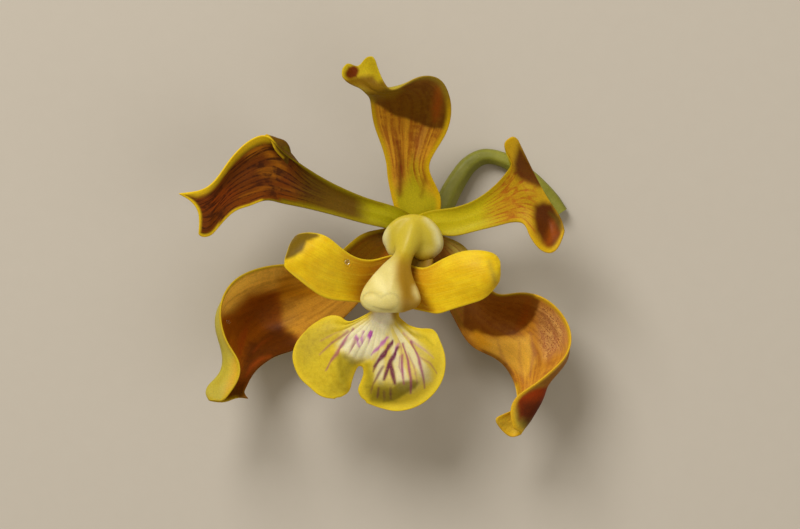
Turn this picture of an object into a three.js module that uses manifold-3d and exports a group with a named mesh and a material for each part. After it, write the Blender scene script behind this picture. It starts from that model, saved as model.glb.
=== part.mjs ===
// An orchid bloom, Encyclia inopinata, lying on its back with its face up.
// X runs to the viewer's right, Y towards the dorsal sepal and Z out of the bloom's face, in millimetres.
import * as THREE from "three";
import { mergeVertices } from "three/addons/utils/BufferGeometryUtils.js";
import Module from "manifold-3d";

// Driving dimensions
const BLADE_THICKNESS = 0.6; // of sepals, petals and lip
const BLADE_ROWS = 22; // steps along a sepal or petal
const BLADE_COLUMNS = 10; // steps across it
const LOBE_ROWS = 14;
const LOBE_COLUMNS = 8;
const CLAW_ROWS = 10;
const CLAW_COLUMNS = 6;
const MIDLOBE_ROWS = 12;
const MIDLOBE_COLUMNS = 40;
const NOTCH_STEPS = 24;
const PEDICEL_STEPS = 26;
const TUBE_SIDES = 12;
const ARCH_STEPS = 16;
const COLUMN_STEPS = 12;
const COLUMN_SIDES = 20;
const ELLIPSOID_SIDES = 20;
const ELLIPSOID_RINGS = 12;
const SLOPE_STEP = 0.01; // share of a curve over which its direction is taken
const MERGE_DISTANCE = 1e-4;
const CAP_GAP = 0.3; // between the anther cap and its seat in the column
const ORIGIN_SHIFT = [2.64, 1.8, 0]; // from the middle of the flower's base to the middle of the bloom's box

// Tepals. Each row of a net runs across the blade, and the rows run from its base to its tip.

// From the left margin to the right one. The upper third arches forward, and its tip twists to the left.
const DORSAL_SEPAL = [
  [[-1.1, 0.8, 4.3], [-0.3, 0.8, 4.2], [0.6, 0.7, 4.2], [1.5, 0.8, 4.2], [2.4, 0.8, 4.3]],
  [[-1.5, 2.3, 4.6], [-0.6, 2.3, 4.3], [0.5, 2.3, 4.2], [1.6, 2.3, 4.3], [2.5, 2.3, 4.6]],
  [[-1.8, 3.8, 5.1], [-1.0, 3.8, 4.6], [0.0, 3.8, 4.4], [1.0, 3.8, 4.6], [1.8, 3.7, 5.1]],
  [[-1.9, 5.0, 5.5], [-1.1, 5.0, 5.0], [-0.2, 5.0, 4.8], [0.8, 4.9, 5.0], [1.5, 4.8, 5.4]],
  [[-2.3, 6.4, 6.1], [-1.3, 6.4, 5.6], [-0.1, 6.3, 5.4], [1.1, 6.2, 5.5], [2.1, 6.0, 6.0]],
  [[-2.9, 8.0, 7.1], [-1.6, 7.9, 6.4], [0.0, 7.8, 6.1], [1.5, 7.6, 6.1], [2.9, 7.3, 6.5]],
  [[-3.1, 9.3, 8.4], [-1.7, 9.1, 7.6], [0.1, 9.0, 7.2], [1.8, 8.8, 7.0], [3.3, 8.7, 7.2]],
  [[-3.2, 10.0, 9.6], [-1.8, 10.0, 9.1], [0.0, 10.1, 8.8], [1.9, 10.2, 8.4], [3.2, 10.2, 8.6]],
  [[-3.4, 10.3, 10.2], [-2.2, 10.4, 10.0], [-0.4, 10.7, 9.9], [0.8, 11.2, 9.7], [2.4, 11.7, 9.4]],
  [[-3.7, 10.6, 10.6], [-2.7, 10.7, 10.5], [-1.6, 10.9, 10.3], [-0.5, 11.3, 10.4], [0.5, 11.7, 10.5]],
  [[-4.1, 11.0, 10.9], [-3.4, 11.2, 10.6], [-2.7, 11.2, 10.7], [-2.0, 11.3, 11.0], [-1.2, 11.2, 11.2]],
  [[-4.7, 11.3, 11.2], [-4.2, 11.6, 10.5], [-3.4, 11.9, 10.6], [-3.1, 12.1, 10.7], [-2.4, 12.2, 11.2]],
  [[-5.2, 11.8, 11.6], [-4.8, 12.1, 10.9], [-4.2, 12.5, 10.7], [-3.5, 12.9, 11.0], [-2.9, 13.2, 11.6]],
];

// From the lower margin to the upper one, which is rolled over to the front where the blade widens.
const PETAL_LEFT = [
  [[-1.8, -0.3, 5.2], [-1.5, 0.1, 5.1], [-1.3, 0.6, 5.1], [-1.2, 1.0, 5.1], [-1.1, 1.5, 5.2]],
  [[-3.6, 0.1, 5.5], [-3.7, 0.6, 5.2], [-3.7, 1.2, 5.1], [-3.7, 1.8, 5.2], [-3.6, 2.2, 5.5]],
  [[-6.5, 0.9, 5.8], [-6.5, 1.5, 5.4], [-6.5, 2.2, 5.2], [-6.5, 2.9, 5.4], [-6.5, 3.5, 5.8]],
  [[-8.6, 1.4, 6.2], [-8.5, 2.2, 5.8], [-8.5, 3.1, 5.8], [-8.5, 4.2, 6.3], [-8.8, 4.9, 7.1]],
  [[-10.2, 1.7, 6.9], [-10.2, 2.7, 6.5], [-10.1, 4.2, 6.5], [-9.8, 5.9, 7.3], [-10.3, 5.9, 8.5]],
  [[-11.5, 2.0, 7.4], [-11.5, 3.0, 7.1], [-11.5, 4.6, 7.2], [-11.3, 6.3, 7.9], [-11.4, 7.2, 8.9]],
  [[-12.8, 1.5, 7.9], [-13.0, 2.6, 7.6], [-13.1, 4.0, 7.7], [-13.0, 5.4, 8.1], [-12.9, 6.7, 9.0]],
  [[-14.0, 1.1, 8.4], [-14.5, 1.9, 8.3], [-14.6, 3.0, 8.4], [-14.5, 4.2, 8.7], [-14.3, 5.3, 9.4]],
  [[-15.1, 0.0, 8.7], [-15.5, 0.8, 8.8], [-15.7, 1.8, 9.0], [-15.6, 2.9, 9.3], [-15.3, 3.8, 9.7]],
  [[-15.9, -0.9, 9.0], [-16.2, 0.1, 9.3], [-16.4, 1.2, 9.5], [-16.6, 2.1, 9.7], [-16.5, 2.8, 9.9]],
  [[-16.9, -1.0, 9.3], [-16.8, 0.1, 9.6], [-16.9, 1.1, 9.8], [-17.5, 1.9, 10.0], [-18.5, 2.5, 10.2]],
];

// From the lower margin to the upper one. The end spreads into a pointed upper wing and a scooped lower one.
const PETAL_RIGHT = [
  [[2.2, -0.8, 5.2], [2.0, -0.3, 5.1], [1.9, 0.2, 5.1], [1.8, 0.7, 5.1], [1.7, 1.2, 5.2]],
  [[3.6, -0.9, 5.5], [3.6, -0.3, 5.2], [3.6, 0.3, 5.1], [3.6, 0.9, 5.2], [3.5, 1.4, 5.5]],
  [[5.2, -0.5, 5.8], [5.3, 0.1, 5.4], [5.3, 0.8, 5.3], [5.3, 1.4, 5.4], [5.2, 2.0, 5.8]],
  [[6.9, -0.1, 6.3], [6.9, 0.6, 5.9], [6.9, 1.4, 5.8], [6.8, 2.2, 5.9], [6.7, 3.1, 6.4]],
  [[8.1, 0.2, 6.9], [8.2, 1.0, 6.6], [8.2, 2.0, 6.5], [7.9, 3.1, 6.6], [7.5, 4.2, 7.1]],
  [[9.1, 0.1, 7.6], [9.1, 1.1, 7.0], [8.9, 2.2, 6.9], [8.3, 3.6, 6.9], [7.6, 5.1, 7.6]],
  [[9.6, -1.0, 8.4], [9.9, 0.7, 7.1], [9.4, 2.3, 7.2], [8.5, 3.9, 7.1], [7.5, 5.8, 7.9]],
  [[10.5, -2.1, 8.6], [10.6, 0.2, 7.0], [10.0, 2.2, 7.3], [8.9, 4.2, 7.2], [7.7, 6.4, 8.1]],
  [[11.6, -2.2, 8.5], [11.3, -0.1, 6.9], [10.5, 2.1, 7.3], [9.4, 4.3, 7.2], [8.1, 6.8, 8.2]],
  [[12.3, -0.8, 8.1], [11.8, 0.8, 7.1], [10.9, 2.3, 7.2], [9.8, 4.4, 7.3], [8.5, 7.0, 8.2]],
];

// From the margin beside the lip to the outer one, which is folded over to the front beyond half length.
// Where its middle line would pass below the surface, the blade lies flat on it.
const LATERAL_SEPAL_LEFT = [
  [[-0.6, -1.6, 4.3], [-0.9, -1.3, 4.2], [-1.3, -0.9, 4.2], [-1.6, -0.6, 4.2], [-2.0, -0.3, 4.3]],
  [[-1.7, -3.1, 4.1], [-2.2, -2.6, 3.8], [-2.8, -2.0, 3.7], [-3.4, -1.3, 3.8], [-4.0, -0.6, 4.1]],
  [[-3.0, -4.9, 3.6], [-3.8, -4.3, 3.1], [-4.5, -3.7, 2.9], [-5.2, -3.0, 3.1], [-5.7, -2.3, 3.6]],
  [[-4.8, -7.0, 3.0], [-6.0, -6.1, 2.0], [-6.9, -5.1, 1.6], [-7.5, -4.1, 2.0], [-7.9, -3.1, 3.0]],
  [[-7.0, -9.0, 2.4], [-8.4, -7.6, 0.8], [-9.4, -6.2, -0.2], [-10.0, -4.6, 1.3], [-10.4, -3.1, 3.2]],
  [[-9.4, -10.1, 2.7], [-10.6, -8.6, 0.2], [-11.4, -7.2, -0.8], [-12.2, -5.3, 1.5], [-12.8, -3.6, 4.2]],
  [[-10.8, -10.5, 3.4], [-11.8, -9.2, 1.0], [-12.7, -7.7, 0.2], [-13.8, -6.0, 2.4], [-14.5, -4.7, 5.1]],
  [[-11.7, -11.1, 4.0], [-12.5, -10.0, 2.2], [-13.5, -8.6, 1.6], [-15.1, -6.7, 4.0], [-15.2, -6.4, 6.2]],
  [[-12.2, -11.5, 4.6], [-13.0, -10.7, 3.0], [-13.9, -9.6, 2.5], [-15.5, -8.2, 4.6], [-15.1, -8.0, 6.8]],
  [[-12.6, -12.0, 5.2], [-13.4, -11.4, 3.9], [-14.2, -10.7, 3.6], [-15.3, -9.6, 5.3], [-14.6, -9.5, 7.4]],
  [[-12.9, -12.5, 5.8], [-13.7, -12.1, 4.8], [-14.4, -11.6, 4.7], [-15.0, -11.0, 6.2], [-13.7, -10.7, 8.0]],
  [[-13.1, -13.0, 6.4], [-13.9, -12.8, 5.6], [-14.8, -12.5, 5.7], [-15.4, -12.2, 6.9], [-13.5, -11.9, 8.4]],
  [[-13.1, -13.6, 7.0], [-13.9, -13.5, 6.4], [-15.1, -13.4, 6.6], [-16.0, -13.2, 7.6], [-14.1, -13.0, 8.7]],
  [[-13.1, -13.9, 7.3], [-13.9, -13.9, 7.1], [-14.9, -14.0, 7.2], [-15.7, -13.9, 7.9], [-14.9, -13.8, 8.7]],
];

const LATERAL_SEPAL_RIGHT = [
  [[0.7, -1.7, 4.3], [1.1, -1.5, 4.2], [1.5, -1.2, 4.2], [1.9, -1.0, 4.2], [2.3, -0.8, 4.3]],
  [[1.4, -3.4, 4.1], [2.1, -3.0, 3.8], [2.8, -2.6, 3.7], [3.6, -2.1, 3.8], [4.5, -1.5, 4.1]],
  [[2.3, -5.3, 3.6], [3.1, -4.9, 3.0], [3.9, -4.5, 2.8], [4.7, -4.1, 3.0], [5.5, -3.6, 3.6]],
  [[3.4, -7.2, 3.0], [4.3, -6.8, 2.1], [5.2, -6.3, 1.8], [6.0, -6.0, 2.1], [6.8, -5.7, 2.9]],
  [[4.3, -8.5, 2.6], [5.5, -8.1, 1.2], [6.6, -7.4, 0.8], [7.6, -6.5, 1.3], [8.4, -5.4, 3.0]],
  [[5.3, -9.8, 2.7], [6.7, -9.2, 0.9], [8.0, -8.3, -0.6], [9.2, -7.0, 1.1], [10.2, -5.5, 3.8]],
  [[6.6, -10.5, 3.1], [7.8, -9.9, 1.4], [9.1, -9.1, 0.7], [10.6, -7.9, 1.7], [11.9, -6.6, 4.5]],
  [[7.5, -11.2, 3.7], [8.7, -10.7, 2.3], [10.0, -10.0, 1.7], [11.7, -9.1, 2.7], [13.0, -8.5, 5.1]],
  [[8.0, -11.9, 4.2], [9.1, -11.5, 3.1], [10.3, -11.0, 2.7], [12.6, -10.4, 4.2], [12.7, -10.3, 6.0]],
  [[8.3, -12.5, 4.7], [9.2, -12.3, 3.9], [10.1, -12.1, 3.7], [11.9, -11.6, 5.0], [11.3, -11.7, 6.7]],
  [[8.5, -13.1, 5.1], [9.2, -13.1, 4.5], [10.0, -12.9, 4.5], [11.0, -12.6, 5.7], [9.9, -12.8, 7.2]],
  [[8.6, -13.9, 5.5], [9.2, -13.9, 5.1], [9.9, -13.8, 5.2], [10.7, -13.4, 6.2], [8.7, -13.5, 7.5]],
  [[8.5, -14.7, 5.9], [9.0, -14.7, 5.5], [9.7, -14.6, 5.6], [10.3, -14.2, 6.6], [8.1, -14.3, 7.7]],
  [[8.2, -15.5, 6.3], [8.7, -15.6, 5.9], [9.3, -15.5, 6.0], [9.8, -15.2, 6.9], [7.9, -15.1, 7.9]],
  [[8.0, -16.5, 6.9], [8.3, -16.8, 6.4], [8.8, -16.8, 6.4], [9.1, -16.3, 7.2], [7.1, -15.8, 8.1]],
];

// Lip. The rows of a side lobe run from under the column to the lobe's free end, each from the lower margin.
const SIDE_LOBE_LEFT = [
  [[-2.6, -6.3, 7.0], [-2.2, -5.4, 6.8], [-1.8, -4.4, 6.6], [-1.2, -3.4, 6.3], [-0.6, -2.4, 6.0]],
  [[-4.1, -6.2, 7.4], [-3.5, -5.2, 7.1], [-2.9, -4.2, 6.9], [-2.2, -3.2, 6.8], [-1.6, -2.4, 6.6]],
  [[-5.0, -6.1, 7.9], [-4.5, -5.2, 7.5], [-3.9, -4.3, 7.3], [-3.4, -3.5, 7.2], [-3.0, -2.8, 7.3]],
  [[-6.1, -6.0, 8.5], [-5.7, -5.0, 8.2], [-5.2, -4.1, 8.1], [-4.7, -3.3, 8.1], [-4.3, -2.6, 8.2]],
  [[-7.1, -5.7, 9.0], [-6.8, -4.7, 8.9], [-6.4, -3.7, 8.9], [-5.9, -2.7, 8.9], [-5.4, -1.9, 8.9]],
  [[-8.1, -5.0, 9.5], [-7.9, -4.1, 9.4], [-7.6, -3.1, 9.5], [-7.1, -2.0, 9.5], [-6.6, -0.9, 9.2]],
  [[-9.1, -4.2, 9.6], [-8.9, -3.4, 9.6], [-8.6, -2.5, 9.7], [-8.2, -1.5, 9.4], [-7.8, -0.6, 8.8]],
  [[-9.8, -3.6, 9.4], [-9.7, -2.9, 9.5], [-9.5, -2.2, 9.4], [-9.2, -1.4, 8.9], [-8.8, -0.7, 8.2]],
  [[-10.0, -3.3, 9.2], [-10.0, -2.8, 9.2], [-9.8, -2.2, 9.1], [-9.6, -1.6, 8.6], [-9.2, -1.0, 7.9]],
];

const SIDE_LOBE_RIGHT = [
  [[-0.4, -6.6, 7.0], [-0.5, -5.7, 6.8], [-0.6, -4.8, 6.6], [-0.6, -3.9, 6.4], [-0.5, -3.0, 6.1]],
  [[1.5, -7.0, 7.6], [0.9, -5.9, 7.2], [0.5, -4.9, 7.0], [0.3, -4.0, 6.9], [0.4, -3.3, 6.8]],
  [[2.3, -7.1, 8.0], [1.9, -6.1, 7.8], [1.6, -5.1, 7.7], [1.4, -4.2, 7.6], [1.3, -3.4, 7.5]],
  [[3.5, -6.7, 8.5], [3.2, -5.8, 8.4], [3.0, -4.8, 8.4], [2.8, -3.7, 8.3], [2.6, -2.7, 8.1]],
  [[4.8, -6.3, 8.9], [4.6, -5.4, 9.0], [4.5, -4.4, 9.1], [4.3, -3.2, 9.0], [4.1, -2.1, 8.6]],
  [[5.9, -5.9, 9.1], [5.9, -5.0, 9.4], [5.8, -4.0, 9.5], [5.7, -3.0, 9.3], [5.5, -2.0, 8.9]],
  [[6.7, -5.1, 8.9], [6.8, -4.4, 9.3], [6.8, -3.7, 9.4], [6.7, -2.9, 9.1], [6.5, -2.2, 8.7]],
  [[7.1, -4.5, 8.5], [7.2, -4.0, 8.8], [7.2, -3.4, 8.9], [7.2, -2.9, 8.7], [6.9, -2.5, 8.4]],
];

// Claw of the lip, a trough under the column. Its rows run from the flower's base to the white isthmus.
const LIP_CLAW = [
  [[-0.6, -0.9, 5.1], [0.4, -1.0, 5.1], [1.4, -0.9, 5.1]],
  [[-1.2, -2.4, 5.9], [0.2, -2.5, 5.6], [1.5, -2.5, 5.9]],
  [[-2.2, -4.4, 6.7], [-0.6, -4.5, 6.4], [0.8, -4.6, 6.7]],
  [[-2.9, -6.0, 7.2], [-1.6, -6.2, 6.9], [0.1, -6.2, 7.2]],
  [[-2.8, -7.0, 7.6], [-1.9, -7.1, 7.5], [-1.1, -7.0, 7.6]],
  [[-2.7, -7.8, 7.9], [-1.9, -8.0, 7.9], [-1.2, -7.8, 7.9]],
];

// Middle lobe. Its neck runs across the isthmus and its rim runs round the lobe, both from left to right.
const MIDLOBE_NECK = [
  [-3.1, -6.9, 7.8],
  [-3.0, -7.5, 7.9],
  [-2.6, -8.0, 8.0],
  [-1.6, -8.1, 8.0],
  [-0.9, -7.3, 7.8],
];
const MIDLOBE_RIM = [
  [-8.1, -8.2, 7.5],
  [-9.1, -9.4, 7.4],
  [-9.4, -10.7, 7.5],
  [-8.9, -12.1, 7.7],
  [-8.0, -13.0, 8.0],
  [-7.1, -13.7, 8.2],
  [-6.0, -13.9, 8.1],
  [-4.8, -13.9, 7.8],
  [-3.6, -14.2, 7.6],
  [-2.5, -14.6, 7.6],
  [-1.0, -14.9, 7.8],
  [0.6, -14.5, 7.9],
  [1.9, -13.5, 8.1],
  [2.7, -12.1, 8.3],
  [2.8, -10.4, 8.5],
  [2.1, -8.5, 8.4],
];
const MIDLOBE_BOWS = [0.6, -0.3]; // how far its left and right upper margins bow upwards
const MIDLOBE_BOW_WIDTH = 0.25; // share of the rim over which each bow fades
const MIDLOBE_SWELL = 0.55; // how far its middle stands in front of its rim
const NOTCH_HOLLOW = { at: [-4.3, -11.7], radius: 1.3, depth: 0.5 };
// Waves across the right half: where on the rim and how far out, how wide in each sense, and how high
const MIDLOBE_WAVES = [
  { round: 0.72, out: 0.68, roundWidth: 0.14, outWidth: 0.14, height: 0.5 },
  { round: 0.72, out: 0.9, roundWidth: 0.14, outWidth: 0.1, height: -0.25 },
];
// Outline of the notch between the lobe's two halves, from below the rim up, round its head and down again
const NOTCH = [
  [-5.6, -15.5],
  [-5.5, -13.8],
  [-5.0, -13.2],
  [-4.65, -12.4],
  [-4.4, -11.7],
  [-4.1, -11.3],
  [-3.8, -11.4],
  [-3.75, -11.9],
  [-3.9, -12.4],
  [-4.1, -12.9],
  [-4.15, -13.3],
  [-3.9, -13.8],
  [-3.5, -14.2],
  [-3.3, -15.5],
];
const NOTCH_BOTTOM = 6;
const NOTCH_HEIGHT = 4;

// Column. Its sections run from the flower's base to the hooded end: place, half widths, height and depth.
const COLUMN_SECTIONS = [
  { at: [0.3, 0.5, 6.3], left: 0.7, right: 0.7, top: 0.6, bottom: 0.4 },
  { at: [0.2, -0.3, 6.6], left: 1.1, right: 1.1, top: 0.9, bottom: 0.6 },
  { at: [0.0, -1.3, 6.9], left: 1.2, right: 1.1, top: 0.9, bottom: 0.7 },
  { at: [-0.4, -2.3, 7.4], left: 0.9, right: 0.8, top: 0.8, bottom: 0.7 },
  { at: [-0.9, -3.3, 8.0], left: 1.4, right: 1.0, top: 0.9, bottom: 0.8 },
  { at: [-1.2, -4.3, 8.6], left: 2.0, right: 1.5, top: 1.1, bottom: 0.9 },
  { at: [-1.4, -5.2, 9.0], left: 2.4, right: 2.1, top: 1.2, bottom: 0.9 },
  { at: [-1.5, -6.0, 9.3], left: 2.5, right: 2.4, top: 1.1, bottom: 0.8 },
  { at: [-1.6, -6.6, 9.4], left: 2.1, right: 2.1, top: 0.8, bottom: 0.6 },
  { at: [-1.6, -7.0, 9.4], left: 1.2, right: 1.1, top: 0.4, bottom: 0.3 },
];
const COLUMN_KEEL = 0.45; // how far the upper side is a keel and not round
const COLUMN_BASE = { at: [0.3, -0.8, 6.4], radii: [2.2, 1.6, 0.7] };
// Pale arch round the column's base, from its left end to its right one
const ARCH_PATH = [
  [-1.8, -2.1, 6.4],
  [-1.8, -1.2, 6.3],
  [-1.3, -0.2, 6.4],
  [-0.5, 0.4, 6.5],
  [0.5, 0.5, 6.5],
  [1.4, 0.1, 6.5],
  [2.0, -0.8, 6.4],
  [2.2, -1.8, 6.4],
  [2.2, -2.6, 6.5],
];
const ARCH_RADII = [0.2, 0.6, 0.6, 0.5, 0.5, 0.55, 0.65, 0.6, 0.2];
const COLUMN_FOOT = { at: [0.3, -0.3, 3.9], radius: 0.7, height: 2.6 };
const ANTHER_CAP = { at: [-2.4, -6.0, 10.1], radii: [1.4, 0.8, 0.6] };

// Ovary and pedicel, from the receptacle at the flower's base to the cut end on the surface.
const PEDICEL_PATH = [
  [0.3, -0.3, 3.6],
  [0.4, -0.2, 3.0],
  [1.3, 0.2, 2.2],
  [2.5, 1.2, 1.5],
  [3.3, 2.7, 1.0],
  [4.0, 3.9, 0.8],
  [4.8, 4.9, 0.6],
  [5.8, 5.5, 0.5],
  [6.9, 5.5, 0.5],
  [8.3, 4.9, 0.5],
  [9.9, 3.7, 0.5],
  [11.3, 2.3, 0.5],
  [12.2, 1.0, 0.5],
];
const PEDICEL_RADII = [1.9, 1.1, 0.95, 0.85, 0.8, 0.75, 0.7, 0.65, 0.6, 0.6, 0.6, 0.6, 0.6];

// Surface colours
const GREEN = 0x7d7a1c;
const BROWN = 0x7a3a0c;
const GOLD = 0xc08a20;
const YELLOW = 0xd0b020;
const CREAM = 0xdcd090;
const PALE_YELLOW = 0xe2d890;

const wasm = await Module();
wasm.setup();

// The point at t, from 0 to 1, on a smooth curve through points of any dimension.
function curveAt(points, t) {
  const last = points.length - 1;
  const i = Math.min(Math.floor(t * last), last - 1);
  const f = t * last - i;
  const p1 = points[i];
  const p2 = points[i + 1];
  const p0 = i > 0 ? points[i - 1] : p1.map((v, k) => 2 * v - p2[k]);
  const p3 = i + 2 <= last ? points[i + 2] : p2.map((v, k) => 2 * v - p1[k]);
  return p1.map((v, k) => {
    const slope = p2[k] - p0[k];
    const bend = 2 * p0[k] - 5 * v + 4 * p2[k] - p3[k];
    const twist = 3 * (v - p2[k]) + p3[k] - p0[k];
    return v + 0.5 * f * (slope + f * (bend + f * twist));
  });
}

function directionAt(points, t) {
  const ahead = new THREE.Vector3(...curveAt(points, Math.min(t + SLOPE_STEP, 1)));
  const behind = new THREE.Vector3(...curveAt(points, Math.max(t - SLOPE_STEP, 0)));
  return ahead.sub(behind).normalize();
}

// The grid of points that a net's smooth surface passes through.
function netGrid(net, rows, columns) {
  const grid = [];
  for (let i = 0; i <= rows; i++) {
    const across = net[0].map((_, k) => curveAt(net.map((row) => row[k]), i / rows));
    const line = [];
    for (let j = 0; j <= columns; j++) {
      line.push(new THREE.Vector3(...curveAt(across, j / columns)));
    }
    grid.push(line);
  }
  return grid;
}

// A closed blade about a grid of points, which lies flat where it reaches the surface.
function bladeGeometry(grid) {
  const half = BLADE_THICKNESS / 2;
  const rows = grid.length - 1;
  const columns = grid[0].length - 1;
  for (const point of grid.flat()) {
    point.z = Math.max(point.z, half);
  }
  const positions = [];
  for (const side of [1, -1]) {
    for (let i = 0; i <= rows; i++) {
      for (let j = 0; j <= columns; j++) {
        const along = grid[Math.min(i + 1, rows)][j].clone().sub(grid[Math.max(i - 1, 0)][j]);
        const across = grid[i][Math.min(j + 1, columns)].clone().sub(grid[i][Math.max(j - 1, 0)]);
        const normal = across.cross(along).normalize();
        positions.push(...grid[i][j].clone().addScaledVector(normal, side * half));
      }
    }
  }
  const size = (rows + 1) * (columns + 1);
  const corner = (i, j) => i * (columns + 1) + j;
  const triangles = [];
  for (let i = 0; i < rows; i++) {
    for (let j = 0; j < columns; j++) {
      const a = corner(i, j);
      const b = corner(i, j + 1);
      const c = corner(i + 1, j + 1);
      const d = corner(i + 1, j);
      triangles.push(a, b, c, a, c, d);
      triangles.push(size + a, size + c, size + b, size + a, size + d, size + c);
    }
  }
  const rim = [];
  for (let j = 0; j < columns; j++) rim.push(corner(0, j));
  for (let i = 0; i < rows; i++) rim.push(corner(i, columns));
  for (let j = columns; j > 0; j--) rim.push(corner(rows, j));
  for (let i = rows; i > 0; i--) rim.push(corner(i, 0));
  rim.forEach((a, k) => {
    const b = rim[(k + 1) % rim.length];
    triangles.push(a, size + a, size + b, a, size + b, b);
  });
  return indexedGeometry(positions, triangles);
}

function indexedGeometry(positions, triangles) {
  const geometry = new THREE.BufferGeometry();
  geometry.setAttribute("position", new THREE.Float32BufferAttribute(positions, 3));
  geometry.setIndex(triangles);
  return geometry;
}

// A closed body through rings of points, with its two ends capped.
function loftGeometry(rings) {
  const sides = rings[0].length;
  const positions = rings.flat().flatMap((point) => [...point]);
  const triangles = [];
  for (let i = 0; i + 1 < rings.length; i++) {
    for (let j = 0; j < sides; j++) {
      const a = i * sides + j;
      const b = i * sides + ((j + 1) % sides);
      triangles.push(a, b, b + sides, a, b + sides, a + sides);
    }
  }
  const last = (rings.length - 1) * sides;
  for (let j = 1; j + 1 < sides; j++) {
    triangles.push(0, j + 1, j);
    triangles.push(last, last + j, last + j + 1);
  }
  return indexedGeometry(positions, triangles);
}

function solidOf(geometry) {
  const bare = new THREE.BufferGeometry();
  bare.setAttribute("position", geometry.getAttribute("position"));
  bare.setIndex(geometry.index);
  const merged = mergeVertices(bare, MERGE_DISTANCE);
  const vertProperties = new Float32Array(merged.attributes.position.array);
  const triVerts = new Uint32Array(merged.index.array);
  return new wasm.Manifold(new wasm.Mesh({ numProp: 3, vertProperties, triVerts }));
}

function geometryOf(solid) {
  const mesh = solid.getMesh();
  return indexedGeometry([...mesh.vertProperties], [...mesh.triVerts]);
}

function ellipsoid({ at, radii }, extra = 0) {
  const geometry = new THREE.SphereGeometry(1, ELLIPSOID_SIDES, ELLIPSOID_RINGS);
  geometry.scale(...radii.map((radius) => radius + extra));
  geometry.translate(...at);
  return solidOf(geometry);
}

// A smooth bump of height 1 that fades over its width.
function bump(offset, width) {
  return Math.exp(-((offset / width) ** 2));
}

// The middle lobe spreads from its neck to its rim, swells to the front between them and has waves.
function midlobeGrid() {
  const grid = [];
  for (let i = 0; i <= MIDLOBE_ROWS; i++) {
    const out = i / MIDLOBE_ROWS;
    const swell = Math.sin(Math.PI * out);
    const line = [];
    for (let j = 0; j <= MIDLOBE_COLUMNS; j++) {
      const round = j / MIDLOBE_COLUMNS;
      const rim = new THREE.Vector3(...curveAt(MIDLOBE_RIM, round));
      const point = new THREE.Vector3(...curveAt(MIDLOBE_NECK, round)).lerp(rim, out);
      const left = Math.max(0, 1 - round / MIDLOBE_BOW_WIDTH);
      const right = Math.max(0, 1 - (1 - round) / MIDLOBE_BOW_WIDTH);
      point.y += (MIDLOBE_BOWS[0] * left ** 2 + MIDLOBE_BOWS[1] * right ** 2) * swell;
      point.z += MIDLOBE_SWELL * swell ** 2;
      const aside = Math.hypot(point.x - NOTCH_HOLLOW.at[0], point.y - NOTCH_HOLLOW.at[1]);
      point.z -= NOTCH_HOLLOW.depth * bump(aside, NOTCH_HOLLOW.radius);
      for (const wave of MIDLOBE_WAVES) {
        const across = bump(round - wave.round, wave.roundWidth);
        point.z += wave.height * across * bump(out - wave.out, wave.outWidth);
      }
      line.push(point);
    }
    grid.push(line);
  }
  return grid;
}

function notchSolid() {
  const outline = new THREE.Shape();
  for (let i = 0; i <= NOTCH_STEPS; i++) {
    const [x, y] = curveAt(NOTCH, i / NOTCH_STEPS);
    if (i === 0) outline.moveTo(x, y);
    else outline.lineTo(x, y);
  }
  const geometry = new THREE.ExtrudeGeometry(outline, { depth: NOTCH_HEIGHT, bevelEnabled: false });
  geometry.translate(0, 0, NOTCH_BOTTOM);
  return solidOf(geometry);
}

function lipGeometry() {
  const lobes = [SIDE_LOBE_LEFT, SIDE_LOBE_RIGHT].map((net) => netGrid(net, LOBE_ROWS, LOBE_COLUMNS));
  // The left lobe's rows run away from the right, so its front would face the back.
  lobes[0].forEach((line) => line.reverse());
  const claw = netGrid(LIP_CLAW, CLAW_ROWS, CLAW_COLUMNS);
  claw.reverse();
  const midlobe = solidOf(bladeGeometry(midlobeGrid())).subtract(notchSolid());
  const parts = [...lobes, claw].map((grid) => solidOf(bladeGeometry(grid)));
  return geometryOf(parts.reduce((whole, part) => whole.add(part), midlobe));
}

// One ring of the column's body: a round underside, and an upper side between round and keeled.
function columnRing({ at, left, right, top, bottom }, along) {
  const across = new THREE.Vector3(1, 0, 0).addScaledVector(along, -along.x).normalize();
  const up = new THREE.Vector3().crossVectors(along, across).normalize();
  if (up.z < 0) up.negate();
  const ring = [];
  for (let j = 0; j < COLUMN_SIDES; j++) {
    const angle = (2 * Math.PI * j) / COLUMN_SIDES;
    const width = Math.cos(angle) < 0 ? left : right;
    const round = Math.abs(Math.sin(angle));
    const keel = 1 - Math.abs(Math.cos(angle));
    const crest = top * THREE.MathUtils.lerp(round, keel, COLUMN_KEEL);
    const rise = Math.sin(angle) > 0 ? crest : -bottom * round;
    const point = new THREE.Vector3(...at);
    point.addScaledVector(across, width * Math.cos(angle)).addScaledVector(up, rise);
    ring.push(point);
  }
  return ring;
}

function columnGeometry(cap) {
  const path = COLUMN_SECTIONS.map((section) => section.at);
  const sizes = COLUMN_SECTIONS.map(({ left, right, top, bottom }) => [left, right, top, bottom]);
  const rings = [];
  for (let i = 0; i <= COLUMN_STEPS; i++) {
    const t = i / COLUMN_STEPS;
    const [left, right, top, bottom] = curveAt(sizes, t);
    rings.push(columnRing({ at: curveAt(path, t), left, right, top, bottom }, directionAt(path, t)));
  }
  const { at, radius, height } = COLUMN_FOOT;
  const foot = new THREE.CylinderGeometry(radius, radius, height, COLUMN_SIDES);
  foot.rotateX(Math.PI / 2);
  foot.translate(at[0], at[1], at[2] + height / 2);
  const body = solidOf(loftGeometry(rings));
  const arch = solidOf(tubeGeometry(ARCH_PATH, ARCH_RADII, ARCH_STEPS, TUBE_SIDES));
  const parts = [ellipsoid(COLUMN_BASE), arch, solidOf(foot)];
  return geometryOf(parts.reduce((whole, part) => whole.add(part), body).subtract(cap));
}

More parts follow.
